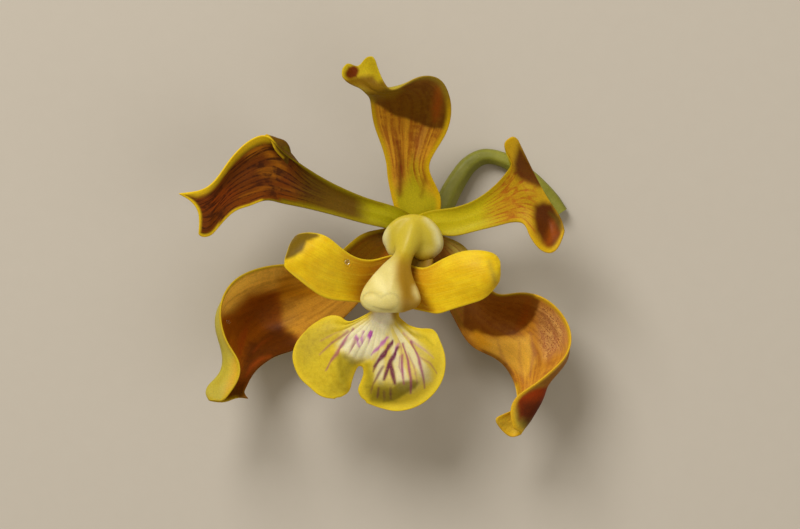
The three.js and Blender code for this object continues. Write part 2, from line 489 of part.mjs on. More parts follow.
// A round body along a path, which lies flat where it reaches the surface.
function tubeGeometry(path, radii, steps, sides) {
  const rings = [];
  const across = new THREE.Vector3(1, 0, 0);
  for (let i = 0; i <= steps; i++) {
    const t = i / steps;
    const centre = new THREE.Vector3(...curveAt(path, t));
    const [radius] = curveAt(radii.map((value) => [value]), t);
    const along = directionAt(path, t);
    across.addScaledVector(along, -across.dot(along)).normalize();
    const up = new THREE.Vector3().crossVectors(along, across);
    const ring = [];
    for (let j = 0; j < sides; j++) {
      const angle = (2 * Math.PI * (j + 0.5)) / sides;
      const point = centre.clone().addScaledVector(across, radius * Math.cos(angle));
      point.addScaledVector(up, radius * Math.sin(angle));
      point.z = Math.max(point.z, 0);
      ring.push(point);
    }
    rings.push(ring);
  }
  return loftGeometry(rings);
}

const bloom = new THREE.Group();

function addPiece(name, geometry, color) {
  const material = new THREE.MeshStandardMaterial({ color, roughness: 0.5, metalness: 0 });
  const mesh = new THREE.Mesh(geometry, material);
  mesh.name = name;
  bloom.add(mesh);
}

function tepalGeometry(net, mirrored) {
  const grid = netGrid(net, BLADE_ROWS, BLADE_COLUMNS);
  if (mirrored) grid.forEach((line) => line.reverse());
  return bladeGeometry(grid);
}

addPiece("ovary_pedicel", tubeGeometry(PEDICEL_PATH, PEDICEL_RADII, PEDICEL_STEPS, TUBE_SIDES), GREEN);
addPiece("dorsal_sepal", tepalGeometry(DORSAL_SEPAL, false), GOLD);
addPiece("lateral_sepal_left", tepalGeometry(LATERAL_SEPAL_LEFT, true), BROWN);
addPiece("lateral_sepal_right", tepalGeometry(LATERAL_SEPAL_RIGHT, false), GOLD);
addPiece("petal_left", tepalGeometry(PETAL_LEFT, true), BROWN);
addPiece("petal_right", tepalGeometry(PETAL_RIGHT, false), YELLOW);
addPiece("lip", lipGeometry(), YELLOW);
addPiece("column", columnGeometry(ellipsoid(ANTHER_CAP, CAP_GAP)), CREAM);
addPiece("anther_cap", geometryOf(ellipsoid(ANTHER_CAP)), PALE_YELLOW);

bloom.position.set(...ORIGIN_SHIFT);

export default bloom;
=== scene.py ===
import math
import bmesh
import bpy
import numpy as np
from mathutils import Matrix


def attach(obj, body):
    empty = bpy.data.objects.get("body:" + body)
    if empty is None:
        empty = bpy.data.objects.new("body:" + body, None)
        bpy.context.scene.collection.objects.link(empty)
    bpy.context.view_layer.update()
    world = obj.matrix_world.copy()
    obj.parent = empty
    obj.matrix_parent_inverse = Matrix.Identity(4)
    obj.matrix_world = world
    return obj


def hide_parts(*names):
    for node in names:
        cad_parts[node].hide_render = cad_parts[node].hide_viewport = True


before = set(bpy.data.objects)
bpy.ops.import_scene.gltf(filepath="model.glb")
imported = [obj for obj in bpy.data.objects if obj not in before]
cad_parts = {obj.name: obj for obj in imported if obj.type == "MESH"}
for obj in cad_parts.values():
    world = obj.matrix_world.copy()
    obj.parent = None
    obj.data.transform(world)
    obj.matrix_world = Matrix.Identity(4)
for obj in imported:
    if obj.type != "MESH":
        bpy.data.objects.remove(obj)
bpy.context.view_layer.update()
print("frame loaded:", len(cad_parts), "nodes")

# An orchid bloom, Encyclia inopinata, lying on its back with its face up.
# Shapes are in millimetres in the flower's own frame: X to the viewer's right, Y towards the dorsal sepal.
flower = {
    "shift": (2.64, 1.8, 0.0),  # from the middle of the flower's base to the middle of its box
    "metre": 0.001,
    "rimRound": 0.13,  # how far in from a margin the blade's edge is round
    "thinning": 1.6,  # how far in from a margin a blade grows thinner
    "levelFrom": 0.6,  # height below which a blade levels out towards the surface
    "lowest": 0.05,  # the height that it comes down to
    "veinSpan": (0.04, 0.7),  # where the raised veins start and end, as shares of a blade's length
}


def placed(points):
    return (np.asarray(points, float) + flower["shift"]) * flower["metre"]


def smoothStep(low, high, value):
    t = np.clip((value - low) / (high - low), 0, 1)
    return t * t * (3 - 2 * t)


def bump(offset, width):
    return np.exp(-((offset / width) ** 2))


def curvePoints(points, t):
    # the points at each t, from 0 to 1, on a smooth curve through rows of any shape
    points = np.asarray(points, float)
    last = len(points) - 1
    i = np.minimum((t * last).astype(int), last - 1)
    f = (t * last - i).reshape((-1,) + (1,) * (points.ndim - 1))
    ends = np.concatenate([2 * points[:1] - points[1:2], points, 2 * points[-1:] - points[-2:-1]])
    p0, p1, p2, p3 = (ends[i + k] for k in range(4))
    return p1 + 0.5 * f * (p2 - p0 + f * (2 * p0 - 5 * p1 + 4 * p2 - p3 + f * (3 * (p1 - p2) + p3 - p0)))


def softened(grid, passes):
    # each pass averages a point with its neighbours and keeps the margins where they are
    for k in range(2 * passes):
        grid = grid.swapaxes(0, 1)
        ends = np.concatenate([2 * grid[:1] - grid[1:2], grid, 2 * grid[-1:] - grid[-2:-1]])
        grid = 0.5 * grid + 0.25 * (ends[:-2] + ends[2:])
    return grid


def netSurface(piece, rows, columns, passes=60):
    # the smooth surface of a piece's net, which levels out where it would pass below the ground
    net = ([piece["root"]] if "root" in piece else []) + piece["net"]
    net = np.reshape(net, (len(net), -1, 3))
    lines = curvePoints(net, np.linspace(0, 1, rows))
    grid = curvePoints(lines.swapaxes(0, 1), np.linspace(0, 1, columns)).swapaxes(0, 1)
    low, reach = flower["levelFrom"], flower["levelFrom"] - flower["lowest"]
    levelled = flower["lowest"] + reach * np.exp((grid[..., 2] - low) / reach)
    grid[..., 2] = np.where(grid[..., 2] < low, levelled, grid[..., 2])
    return softened(grid, passes)


def marginSteps(count):
    # steps from 0 to 1 that lie closer together at both ends
    t = np.linspace(0, 1, count)
    return 0.35 * t + 0.65 * (0.5 - 0.5 * np.cos(math.pi * t))


def refined(grid, rows, columns, corners=(0.0, 0.0)):
    # the same surface on a grid that is finer towards its margins, with the two corners of its tip rounded
    grid = curvePoints(grid, marginSteps(rows))
    middle = grid[:, grid.shape[1] // 2]
    steps = np.linalg.norm(np.diff(middle, axis=0), axis=1)
    fromTip = np.append(np.cumsum(steps[::-1])[::-1], 0.0)
    lines = []
    for line, away in zip(grid, fromTip):
        width = np.linalg.norm(np.diff(line, axis=0), axis=1).sum()
        first, last = (
            (radius - math.sqrt(max(radius ** 2 - (radius - min(away, radius)) ** 2, 0))) / width
            for radius in corners
        )
        lines.append(curvePoints(line, first + (1 - first - last) * marginSteps(columns)))
    return np.array(lines)


def surfaceNormals(grid):
    across = np.gradient(grid, axis=1)
    along = np.gradient(grid, axis=0)
    normal = np.cross(across, along)
    return normal / np.maximum(np.linalg.norm(normal, axis=2, keepdims=True), 1e-9)


def marginDistances(grid):
    # millimetres along the surface from each of its four margins: left, right, base and tip
    steps = np.linalg.norm(np.diff(grid, axis=1), axis=2)
    left = np.concatenate([np.zeros((len(grid), 1)), np.cumsum(steps, axis=1)], axis=1)
    steps = np.linalg.norm(np.diff(grid, axis=0), axis=2)
    base = np.concatenate([np.zeros((1, grid.shape[1])), np.cumsum(steps, axis=0)], axis=0)
    return left, left[:, -1:] - left, base, base[-1:] - base


def bladeShell(grid, thickness, areas, cut=None):
    # a thin blade about a surface, with round margins; thickness gives the middle's and the margin's
    rows, columns = grid.shape[:2]
    u = np.broadcast_to(marginSteps(rows)[:, None], (rows, columns))
    v = np.broadcast_to(marginSteps(columns)[None], (rows, columns))
    left, right, base, tip = marginDistances(grid)
    edge = np.minimum(np.minimum(left, right), tip)
    normal = surfaceNormals(grid)
    turned = normal[..., 2].mean() < 0  # the front is the side that looks up
    if turned:
        normal = -normal
    gone = np.zeros((rows, columns), bool)
    if cut is not None:
        grid, gone, fromCut = cutAlong(grid, cut)
        edge = np.minimum(edge, fromCut)
    nearest = np.minimum(edge, base)
    half = 0.5 * (thickness[1] + (thickness[0] - thickness[1]) * smoothStep(0, flower["thinning"], edge))
    near = np.clip(nearest / flower["rimRound"], 0, 1)
    half = half * np.sqrt(np.maximum(1 - (1 - near) ** 2, 0))
    front, back = grid + normal * half[..., None], grid - normal * half[..., None]
    front[..., 2], back[..., 2] = np.maximum(front[..., 2], 0), np.maximum(back[..., 2], 0)
    index = np.arange(rows * columns).reshape(rows, columns)
    quads = np.stack([index[:-1, :-1], index[:-1, 1:], index[1:, 1:], index[1:, :-1]], -1)
    fields = paintedFields(areas, u, v, grid[..., 0], grid[..., 1], edge)
    atMargin = (half <= 0).ravel()
    for values in fields.values():  # both sides meet at the margin, in the front's colours
        values[rows * columns:][atMargin] = values[:rows * columns][atMargin]
    lost = gone[:-1, :-1] & gone[:-1, 1:] & gone[1:, 1:] & gone[1:, :-1]
    quads = quads[~lost]
    if turned:
        quads = quads[:, ::-1]
    return {
        "vertices": np.concatenate([front.reshape(-1, 3), back.reshape(-1, 3)]),
        "faces": np.concatenate([quads, quads[:, ::-1] + rows * columns]),
        "uv": np.tile(np.stack([v.ravel(), u.ravel()], -1), (2, 1)),
        "fields": fields,
        "reverse": back,
    }


def insideOutline(x, y, outline):
    inside = np.zeros(x.shape, bool)
    for (x1, y1), (x2, y2) in zip(outline, np.roll(outline, -1, axis=0)):
        if y1 != y2:
            inside ^= ((y1 > y) != (y2 > y)) & (x < (x2 - x1) * (y - y1) / (y2 - y1) + x1)
    return inside


def alongLine(x, y, points):
    # distance from a line of points, and how far along it the nearest place is
    away = np.full(np.shape(x), 1e9)
    share = np.zeros(np.shape(x))
    count = len(points) - 1
    for k in range(count):
        (x1, y1), (x2, y2) = points[k], points[k + 1]
        t = np.clip(((x - x1) * (x2 - x1) + (y - y1) * (y2 - y1)) / ((x2 - x1) ** 2 + (y2 - y1) ** 2), 0, 1)
        here = np.hypot(x - x1 - t * (x2 - x1), y - y1 - t * (y2 - y1))
        share = np.where(here < away, (k + t) / count, share)
        away = np.minimum(away, here)
    return away, share


def patch(tone, shape=None, soft=0.4, strength=1.0, width=None, side="front",
          margin=None, along=None, rays=None):
    # a painted area: inside an outline, along a line where it has a width, or so far in from the margins
    return {"tone": tone, "shape": shape, "soft": soft, "strength": strength, "width": width, "side": side,
            "margin": margin, "along": along, "rays": rays}


def patchMask(area, u, v, x, y, edge):
    # how strongly an area colours each point, in millimetres as seen from the front
    soft = area["soft"]
    mask = np.full(x.shape, area["strength"])
    if area["width"]:
        away, share = alongLine(x, y, area["shape"])
        width = np.interp(share, (0, 0.5, 1), area["width"])
        mask = mask * smoothStep(width + soft, width - soft, away)
    elif area["shape"]:
        outline = np.array(area["shape"])
        away, share = alongLine(x, y, np.vstack([outline, outline[:1]]))
        inside = insideOutline(x, y, outline)
        mask = mask * smoothStep(-soft, soft, np.where(inside, away, -away))
    if area["margin"]:
        mask = mask * smoothStep(area["margin"] + soft, area["margin"] - soft, edge)
    if area["along"]:
        low, high = area["along"]
        mask = mask * smoothStep(low - 0.05, low + 0.05, u) * smoothStep(high + 0.05, high - 0.05, u)
    if area["rays"]:
        # a third of the paint stays between the rays
        wave = 0.5 + 0.5 * np.sin(2 * math.pi * area["rays"] * v)
        mask = mask * (0.35 + 0.65 * smoothStep(0.2, 0.75, wave))
    return mask


def paintedFields(areas, u, v, x, y, edge):
    # one field for each tone, with the front's values first and then the back's
    count = x.size
    fields = {"back": np.repeat([0.0, 1.0], count)}
    for area in areas:
        field = fields.setdefault(area["tone"], np.zeros(2 * count))
        mask = patchMask(area, u, v, x, y, edge).ravel()
        if area["side"] != "back":
            field[:count] = np.maximum(field[:count], mask)
        if area["side"] != "front":
            field[count:] = np.maximum(field[count:], mask)
    return fields


def cutAlong(grid, outline):
    # opens a notch: points inside the outline move to it where they border on kept ones
    x, y = grid[..., 0], grid[..., 1]
    inside = insideOutline(x, y, outline)
    kept = np.pad(~inside, 1, constant_values=False)
    rows, columns = x.shape
    beside = np.zeros_like(inside)
    for i in range(3):
        for j in range(3):
            beside |= kept[i:i + rows, j:j + columns]
    border = inside & beside
    away = np.linalg.norm(grid[:, :, None, :2] - outline[None, None], axis=3)
    nearest = away.argmin(axis=2)
    moved = grid.copy()
    moved[border, :2] = outline[nearest[border]]
    fromCut = away.min(axis=2)
    fromCut[inside] = 0
    return moved, inside, fromCut


def newPiece(name, mesh):
    piece = bpy.data.objects.new(name, mesh)
    bpy.context.scene.collection.objects.link(piece)
    return piece


def builtMesh(name, shells, material):
    # one object from shells of vertices, faces, coordinates and painted fields
    start = 0
    faces = []
    for shell in shells:
        faces += (shell["faces"] + start).tolist()
        start += len(shell["vertices"])
    mesh = bpy.data.meshes.new(name)
    vertices = placed(np.concatenate([shell["vertices"] for shell in shells]))
    mesh.from_pydata(vertices.tolist(), [], faces)
    uv = np.concatenate([shell["uv"] for shell in shells])
    corners = np.zeros(len(mesh.loops), int)
    mesh.loops.foreach_get("vertex_index", corners)
    mesh.uv_layers.new(name="UVMap").data.foreach_set("uv", uv[corners].ravel())
    for field in sorted(set().union(*(shell["fields"] for shell in shells))):
        values = [shell["fields"].get(field, np.zeros(len(shell["vertices"]))) for shell in shells]
        mesh.attributes.new(field, "FLOAT", "POINT").data.foreach_set("value", np.concatenate(values))
    work = bmesh.new()
    work.from_mesh(mesh)
    bmesh.ops.remove_doubles(work, verts=work.verts, dist=1e-7)
    loose = [vertex for vertex in work.verts if not vertex.link_faces]
    bmesh.ops.delete(work, geom=loose, context="VERTS")
    work.to_mesh(mesh)
    work.free()
    mesh.shade_smooth()
    mesh.materials.append(material)
    return newPiece(name, mesh)


def addNode(tree, kind, inputs=None, out=0, **settings):
    # a new node with its settings and links, which hands over one output, or all of them where out is None
    node = tree.nodes.new(kind)
    for name, value in settings.items():
        setattr(node, name, value)
    for name, value in (inputs or {}).items():
        if isinstance(value, bpy.types.NodeSocket):
            tree.links.new(value, node.inputs[name])
        else:
            node.inputs[name].default_value = value
    return node.outputs if out is None or not len(node.outputs) else node.outputs[out]


def linearColour(hexColour):
    channels = [int(hexColour[k:k + 2], 16) / 255 for k in (1, 3, 5)]
    return [c / 12.92 if c < 0.04045 else ((c + 0.055) / 1.055) ** 2.4 for c in channels] + [1.0]


def blankMaterial(name):
    material = bpy.data.materials.new(name)
    material.use_nodes = True
    tree = material.node_tree
    tree.nodes.clear()
    return material, tree


def millimetres(tree):
    # object coordinates turned to millimetres, so that a noise scale of 2 has features of half a millimetre
    coordinates = addNode(tree, "ShaderNodeTexCoord", out="Object")
    return addNode(tree, "ShaderNodeMapping", {"Vector": coordinates, "Scale": (1000, 1000, 1000)})


def paintedOver(tree, ground, layers):
    # lays each colour over those below it where its mask says, which further masks or shares may weaken
    colour = addNode(tree, "ShaderNodeRGB")
    colour.default_value = linearColour(ground)
    for tone, mask, *shares in layers:
        for share in shares:
            mask = addNode(tree, "ShaderNodeMath", {0: mask, 1: share}, operation="MULTIPLY")
        mixed = {0: mask, 6: colour, 7: linearColour(tone)}
        colour = addNode(tree, "ShaderNodeMix", mixed, 2, data_type="RGBA")
    return colour


def veinMask(tree, surface, count, along, width, wander):
    # cell walls of long cells: veins that run along the blade, branch and meet again
    stretch = addNode(tree, "ShaderNodeMapping", {"Vector": surface, "Scale": (count, along, 1)})
    drift = addNode(tree, "ShaderNodeTexNoise", {"Vector": stretch, "Scale": 0.9, "Detail": 3}, "Color")
    centred = {"Vector": drift, "Location": (-0.5, -0.5, -0.5), "Scale": (1, 1, 0)}
    drift = addNode(tree, "ShaderNodeMapping", centred)
    moved = {0: drift, 1: (wander, wander, 0), 2: stretch}
    moved = addNode(tree, "ShaderNodeVectorMath", moved, operation="MULTIPLY_ADD")
    walls = addNode(tree, "ShaderNodeTexVoronoi", {"Vector": moved, "Scale": 1.0, "Randomness": 0.75},
                    feature="DISTANCE_TO_EDGE", voronoi_dimensions="2D")
    limits = {"Value": walls, "From Min": width, "From Max": 0.1 * width, "To Min": 0.0, "To Max": 1.0}
    return addNode(tree, "ShaderNodeMapRange", limits, interpolation_type="SMOOTHSTEP")


def brokenMask(tree, field, noise, amount):
    # a painted field whose edge wanders with the noise, and stays as it is where the paint is full or absent
    mask = addNode(tree, "ShaderNodeAttribute", out="Fac", attribute_name=field)
    rest = addNode(tree, "ShaderNodeMath", {0: 1.0, 1: mask}, operation="SUBTRACT")
    edge = addNode(tree, "ShaderNodeMath", {0: mask, 1: rest}, operation="MULTIPLY")
    shift = addNode(tree, "ShaderNodeMath", {0: noise, 1: 0.5}, operation="SUBTRACT")
    shift = addNode(tree, "ShaderNodeMath", {0: shift, 1: amount}, operation="MULTIPLY")
    moved = {0: edge, 1: shift, 2: mask}
    return addNode(tree, "ShaderNodeMath", moved, operation="MULTIPLY_ADD", use_clamp=True)


def finishedSkin(tree, colour, relief, depth, gleam, constants):
    # lights a painted skin: a fine relief of so many metres at a strength, its gleam and its constants
    strength, distance = depth
    skin = addNode(tree, "ShaderNodeBump", {"Height": relief, "Strength": strength, "Distance": distance})
    inputs = {"Base Color": colour, "Roughness": gleam, "Normal": skin, **constants}
    shader = addNode(tree, "ShaderNodeBsdfPrincipled", inputs)
    addNode(tree, "ShaderNodeOutputMaterial", {"Surface": shader})


def mottled(tree, colour, grain, darkest, lightest):
    # the colour a little darker and lighter from cell to cell
    speckle = addNode(tree, "ShaderNodeMapRange", {0: grain, 1: 0.3, 2: 0.7, 3: darkest, 4: lightest})
    return addNode(tree, "ShaderNodeVectorMath", {0: colour, "Scale": speckle}, operation="SCALE")


def waxyTepal(recipe):
    # Living petal tissue with a wax film: a satin gleam, veins just below the skin, some light through it.
    # some of the painted tones laid below are painted light and painted shade
    material, tree = blankMaterial(recipe["name"])
    place = millimetres(tree)
    surface = addNode(tree, "ShaderNodeTexCoord", out="UV")
    patches = addNode(tree, "ShaderNodeTexNoise", {"Vector": place, "Scale": 0.7, "Detail": 4})
    edges = addNode(tree, "ShaderNodeTexNoise", {"Vector": place, "Scale": 2.2, "Detail": 4})
    grain = addNode(tree, "ShaderNodeTexNoise", {"Vector": place, "Scale": 9.0, "Detail": 3})
    drawn = {"Vector": surface, "Scale": (recipe["streaks"], 1.6, 1)}
    drawn = addNode(tree, "ShaderNodeMapping", drawn)
    streaks = addNode(tree, "ShaderNodeTexNoise", {"Vector": drawn, "Scale": 1.0, "Detail": 3})
    uneven = addNode(tree, "ShaderNodeMapRange", {0: edges, 1: 0.36, 2: 0.6, 3: 0.25})
    veins = veinMask(tree, surface, *recipe["veins"])
    veins = addNode(tree, "ShaderNodeMath", {0: veins, 1: uneven}, operation="MULTIPLY")
    clusters = addNode(tree, "ShaderNodeMapRange", {0: patches, 1: 0.4, 2: 0.6, 3: 0.1})
    veinlets = veinMask(tree, surface, *recipe["veinlets"])
    veinlets = addNode(tree, "ShaderNodeMath", {0: veinlets, 1: clusters}, operation="MULTIPLY")
    field = addNode(tree, "ShaderNodeAttribute", out="Fac", attribute_name="veins")
    both = {0: veinlets, 1: 0.45, 2: veins}
    lines = addNode(tree, "ShaderNodeMath", both, operation="MULTIPLY_ADD", use_clamp=True)
    lines = addNode(tree, "ShaderNodeMath", {0: lines, 1: field}, operation="MULTIPLY")
    smears = addNode(tree, "ShaderNodeMapRange", {0: streaks, 1: 0.47, 2: 0.66})
    back = addNode(tree, "ShaderNodeAttribute", out="Fac", attribute_name="back")
    layers = [(recipe["reverse"], back)]
    for name, tone in recipe["under"].items():
        layers.append((tone, brokenMask(tree, name, edges, 2.2)))
    layers += [
        (recipe["smear"], smears, field, recipe["smearing"]),
        (recipe["vein"], lines, recipe["veining"]),
    ]
    if "speckle" in recipe:
        dots = addNode(tree, "ShaderNodeMapRange", {0: grain, 1: 0.5, 2: 0.62})
        speckled = addNode(tree, "ShaderNodeAttribute", out="Fac", attribute_name="speckled")
        layers.append((recipe["speckle"], dots, speckled))
    for name, tone in recipe["over"].items():
        layers.append((tone, brokenMask(tree, name, edges, 1.6)))
    colour = mottled(tree, paintedOver(tree, recipe["front"], layers), grain, 0.88, 1.1)
    relief = addNode(tree, "ShaderNodeMath", {0: lines, 1: -0.5, 2: grain}, operation="MULTIPLY_ADD")
    gloss = recipe["gloss"]
    gleam = addNode(tree, "ShaderNodeMapRange", {0: patches, 1: 0.3, 2: 0.7, 3: gloss, 4: gloss + 0.16})
    finishedSkin(tree, colour, relief, (0.5, 0.00004), gleam, {
        "IOR": 1.42, "Specular IOR Level": 0.13,
        "Subsurface Weight": 0.1, "Subsurface Radius": (1.0, 0.5, 0.1), "Subsurface Scale": 0.0004,
    })
    return material


def raisedVeins(name, shell, columns, girth, material):
    # veins that stand out on the back of a blade, each a tapered tube half sunk in it
    rows = len(shell["reverse"])
    start, end = flower["veinSpan"]
    lines = []
    for v in columns:
        j = int(round(v * (shell["reverse"].shape[1] - 1)))
        steps = np.arange(int(start * rows), int(end * rows), 3)
        path = shell["reverse"][steps, j]
        fade = 1 - (np.arange(len(steps)) / len(steps)) ** 1.5
        lines.append((path, girth * (0.25 + 0.75 * fade)))
    settings = {"Sides": 6, "Ribs": 6.0, "Rib depth": 0.0, "Ripple": 0.008, "Ripple size": 1500.0}
    return tubesAlong(name, lines, settings, material)


def openTree(name, inputs):
    # a geometry node tree with named inputs, and the sockets that they come in by
    tree = bpy.data.node_groups.new(name, "GeometryNodeTree")
    for label, kind in [("Geometry", "Geometry"), *inputs, ("Material", "Material")]:
        tree.interface.new_socket(label, in_out="INPUT", socket_type="NodeSocket" + kind)
    tree.interface.new_socket("Geometry", in_out="OUTPUT", socket_type="NodeSocketGeometry")
    return tree, addNode(tree, "NodeGroupInput", out=None)


def closeTree(tree, geometry, material):
    # every tree ends in smooth shading, real geometry and the piece's material
    smooth = addNode(tree, "GeometryNodeSetShadeSmooth", {"Geometry": geometry})
    real = addNode(tree, "GeometryNodeRealizeInstances", {"Geometry": smooth})
    skinned = addNode(tree, "GeometryNodeSetMaterial", {"Geometry": real, "Material": material})
    addNode(tree, "NodeGroupOutput", {0: skinned})
    return tree


def tubeTree():
    # a tube round each curve, as wide as its girth, with lengthwise ribs and a rippled skin
    amounts = [(name, "Float") for name in ("Ribs", "Rib depth", "Ripple", "Ripple size")]
    tree, given = openTree("Tubes along curves", [("Sides", "Int"), *amounts])
    girth = addNode(tree, "GeometryNodeInputNamedAttribute", {"Name": "girth"}, data_type="FLOAT")
    curve = addNode(tree, "GeometryNodeMeshToCurve", {"Mesh": given["Geometry"]})
    circle = {"Resolution": given["Sides"], "Radius": 1.0}
    profile = addNode(tree, "GeometryNodeCurvePrimitiveCircle", circle)
    spot = addNode(tree, "GeometryNodeInputPosition")
    parts = addNode(tree, "ShaderNodeSeparateXYZ", {0: spot}, None)
    angle = addNode(tree, "ShaderNodeMath", {0: parts[1], 1: parts[0]}, operation="ARCTAN2")
    turn = addNode(tree, "ShaderNodeMath", {0: angle, 1: given["Ribs"]}, operation="MULTIPLY")
    wave = addNode(tree, "ShaderNodeMath", {0: turn}, operation="COSINE")
    ribs = {0: wave, 1: given["Rib depth"], 2: 1.0}
    scale = addNode(tree, "ShaderNodeMath", ribs, operation="MULTIPLY_ADD")
    ribbed = addNode(tree, "ShaderNodeVectorMath", {0: spot, "Scale": scale}, operation="SCALE")
    profile = addNode(tree, "GeometryNodeSetPosition", {"Geometry": profile, "Position": ribbed})
    swept = {"Curve": curve, "Profile Curve": profile, "Scale": girth, "Fill Caps": True}
    tube = addNode(tree, "GeometryNodeCurveToMesh", swept)
    ripples = {"Vector": spot, "Scale": given["Ripple size"], "Detail": 2}
    noise = addNode(tree, "ShaderNodeTexNoise", ripples)
    lift = addNode(tree, "ShaderNodeMath", {0: noise, 1: 0.5}, operation="SUBTRACT")
    lift = addNode(tree, "ShaderNodeMath", {0: lift, 1: given["Ripple"]}, operation="MULTIPLY")
    normal = addNode(tree, "GeometryNodeInputNormal")
    raised = addNode(tree, "ShaderNodeVectorMath", {0: normal, "Scale": lift}, operation="SCALE")
    tube = addNode(tree, "GeometryNodeSetPosition", {"Geometry": tube, "Offset": raised})
    moved = addNode(tree, "GeometryNodeInputPosition")
    parts = addNode(tree, "ShaderNodeSeparateXYZ", {0: moved}, None)
    above = addNode(tree, "ShaderNodeMath", {0: parts[2], 1: 0.0}, operation="MAXIMUM")
    laid = addNode(tree, "ShaderNodeCombineXYZ", {0: parts[0], 1: parts[1], 2: above})
    tube = addNode(tree, "GeometryNodeSetPosition", {"Geometry": tube, "Position": laid})
    return closeTree(tree, tube, given["Material"])


def plainMesh(piece, name, material):
    # the result of a piece's modifiers as a mesh of its own
    bpy.context.view_layer.update()
    shown = piece.evaluated_get(bpy.context.evaluated_depsgraph_get())
    mesh = bpy.data.meshes.new_from_object(shown)
    mesh.name = name
    mesh.materials.clear()
    mesh.materials.append(material)
    piece.modifiers.clear()
    piece.data = mesh
    piece.name = name
    return piece


def grown(name, points, edges, girths, tree, settings, material):
    # what a node tree makes of points that each have a girth
    mesh = bpy.data.meshes.new(name)
    mesh.from_pydata(placed(points).tolist(), edges, [])
    girths = [value * flower["metre"] for value in girths]
    mesh.attributes.new("girth", "FLOAT", "POINT").data.foreach_set("value", girths)
    piece = newPiece(name, mesh)
    modifier = piece.modifiers.new("Grown", "NODES")
    modifier.node_group = tree
    settings = {**settings, "Material": material}
    for item in tree.interface.items_tree:
        if item.in_out == "INPUT" and item.name in settings:
            modifier[item.identifier] = settings[item.name]
    return plainMesh(piece, name, material)


def tubesAlong(name, lines, settings, material):
    points, edges, girths = [], [], []
    for path, girth in lines:
        edges += [(len(points) + k, len(points) + k + 1) for k in range(len(path) - 1)]
        points += list(path)
        girths += list(girth)
    ripple = settings["Ripple"] * flower["metre"]
    return grown(name, points, edges, girths, tubes, {**settings, "Ripple": ripple}, material)


def kept(piece, node=None, slot=None):
    # every piece rides with the bloom, and one that is finer than its node stands for it
    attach(piece, "root")
    if node:
        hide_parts(node)


def makeTepal(tepal):
    # grid says the rows, columns and softening of the net's surface, and finer the blade's rows and columns
    surface = refined(netSurface(tepal, *tepal["grid"]), *tepal["finer"], tepal["corners"])
    shell = bladeShell(surface, tepal["thickness"], tepal["zones"])
    shells = [shell]
    if "roll" in tepal:
        roll = refined(netSurface({"net": tepal["roll"]}, *tepal["rollGrid"]), *tepal["rollFiner"])
        shells.append(bladeShell(roll, tepal["rollThickness"], tepal["rollZones"]))
    kept(builtMesh(tepal["name"], shells, waxyTepal(tepal["skin"])), tepal["node"], tepal["slot"])
    veins = raisedVeins(tepal["veinsName"], shell, tepal["veins"], tepal["veinGirth"], reverseVein)
    kept(veins, slot=tepal["slot"])
    print(tepal["node"].replace("_", " "), "made")


tubes = tubeTree()
reverseVein = waxyTepal({
    "name": "Tepal vein, raised and waxed", "front": "#a08c1c", "reverse": "#a08c1c", "under": {}, "over": {},
    "smear": "#8a6a10", "smearing": 0.4, "vein": "#8a6a1a", "veining": 0.3, "veins": (9, 2, 0.1, 0.2),
    "veinlets": (20, 4, 0.1, 0.2), "streaks": 12, "gloss": 0.45,
})


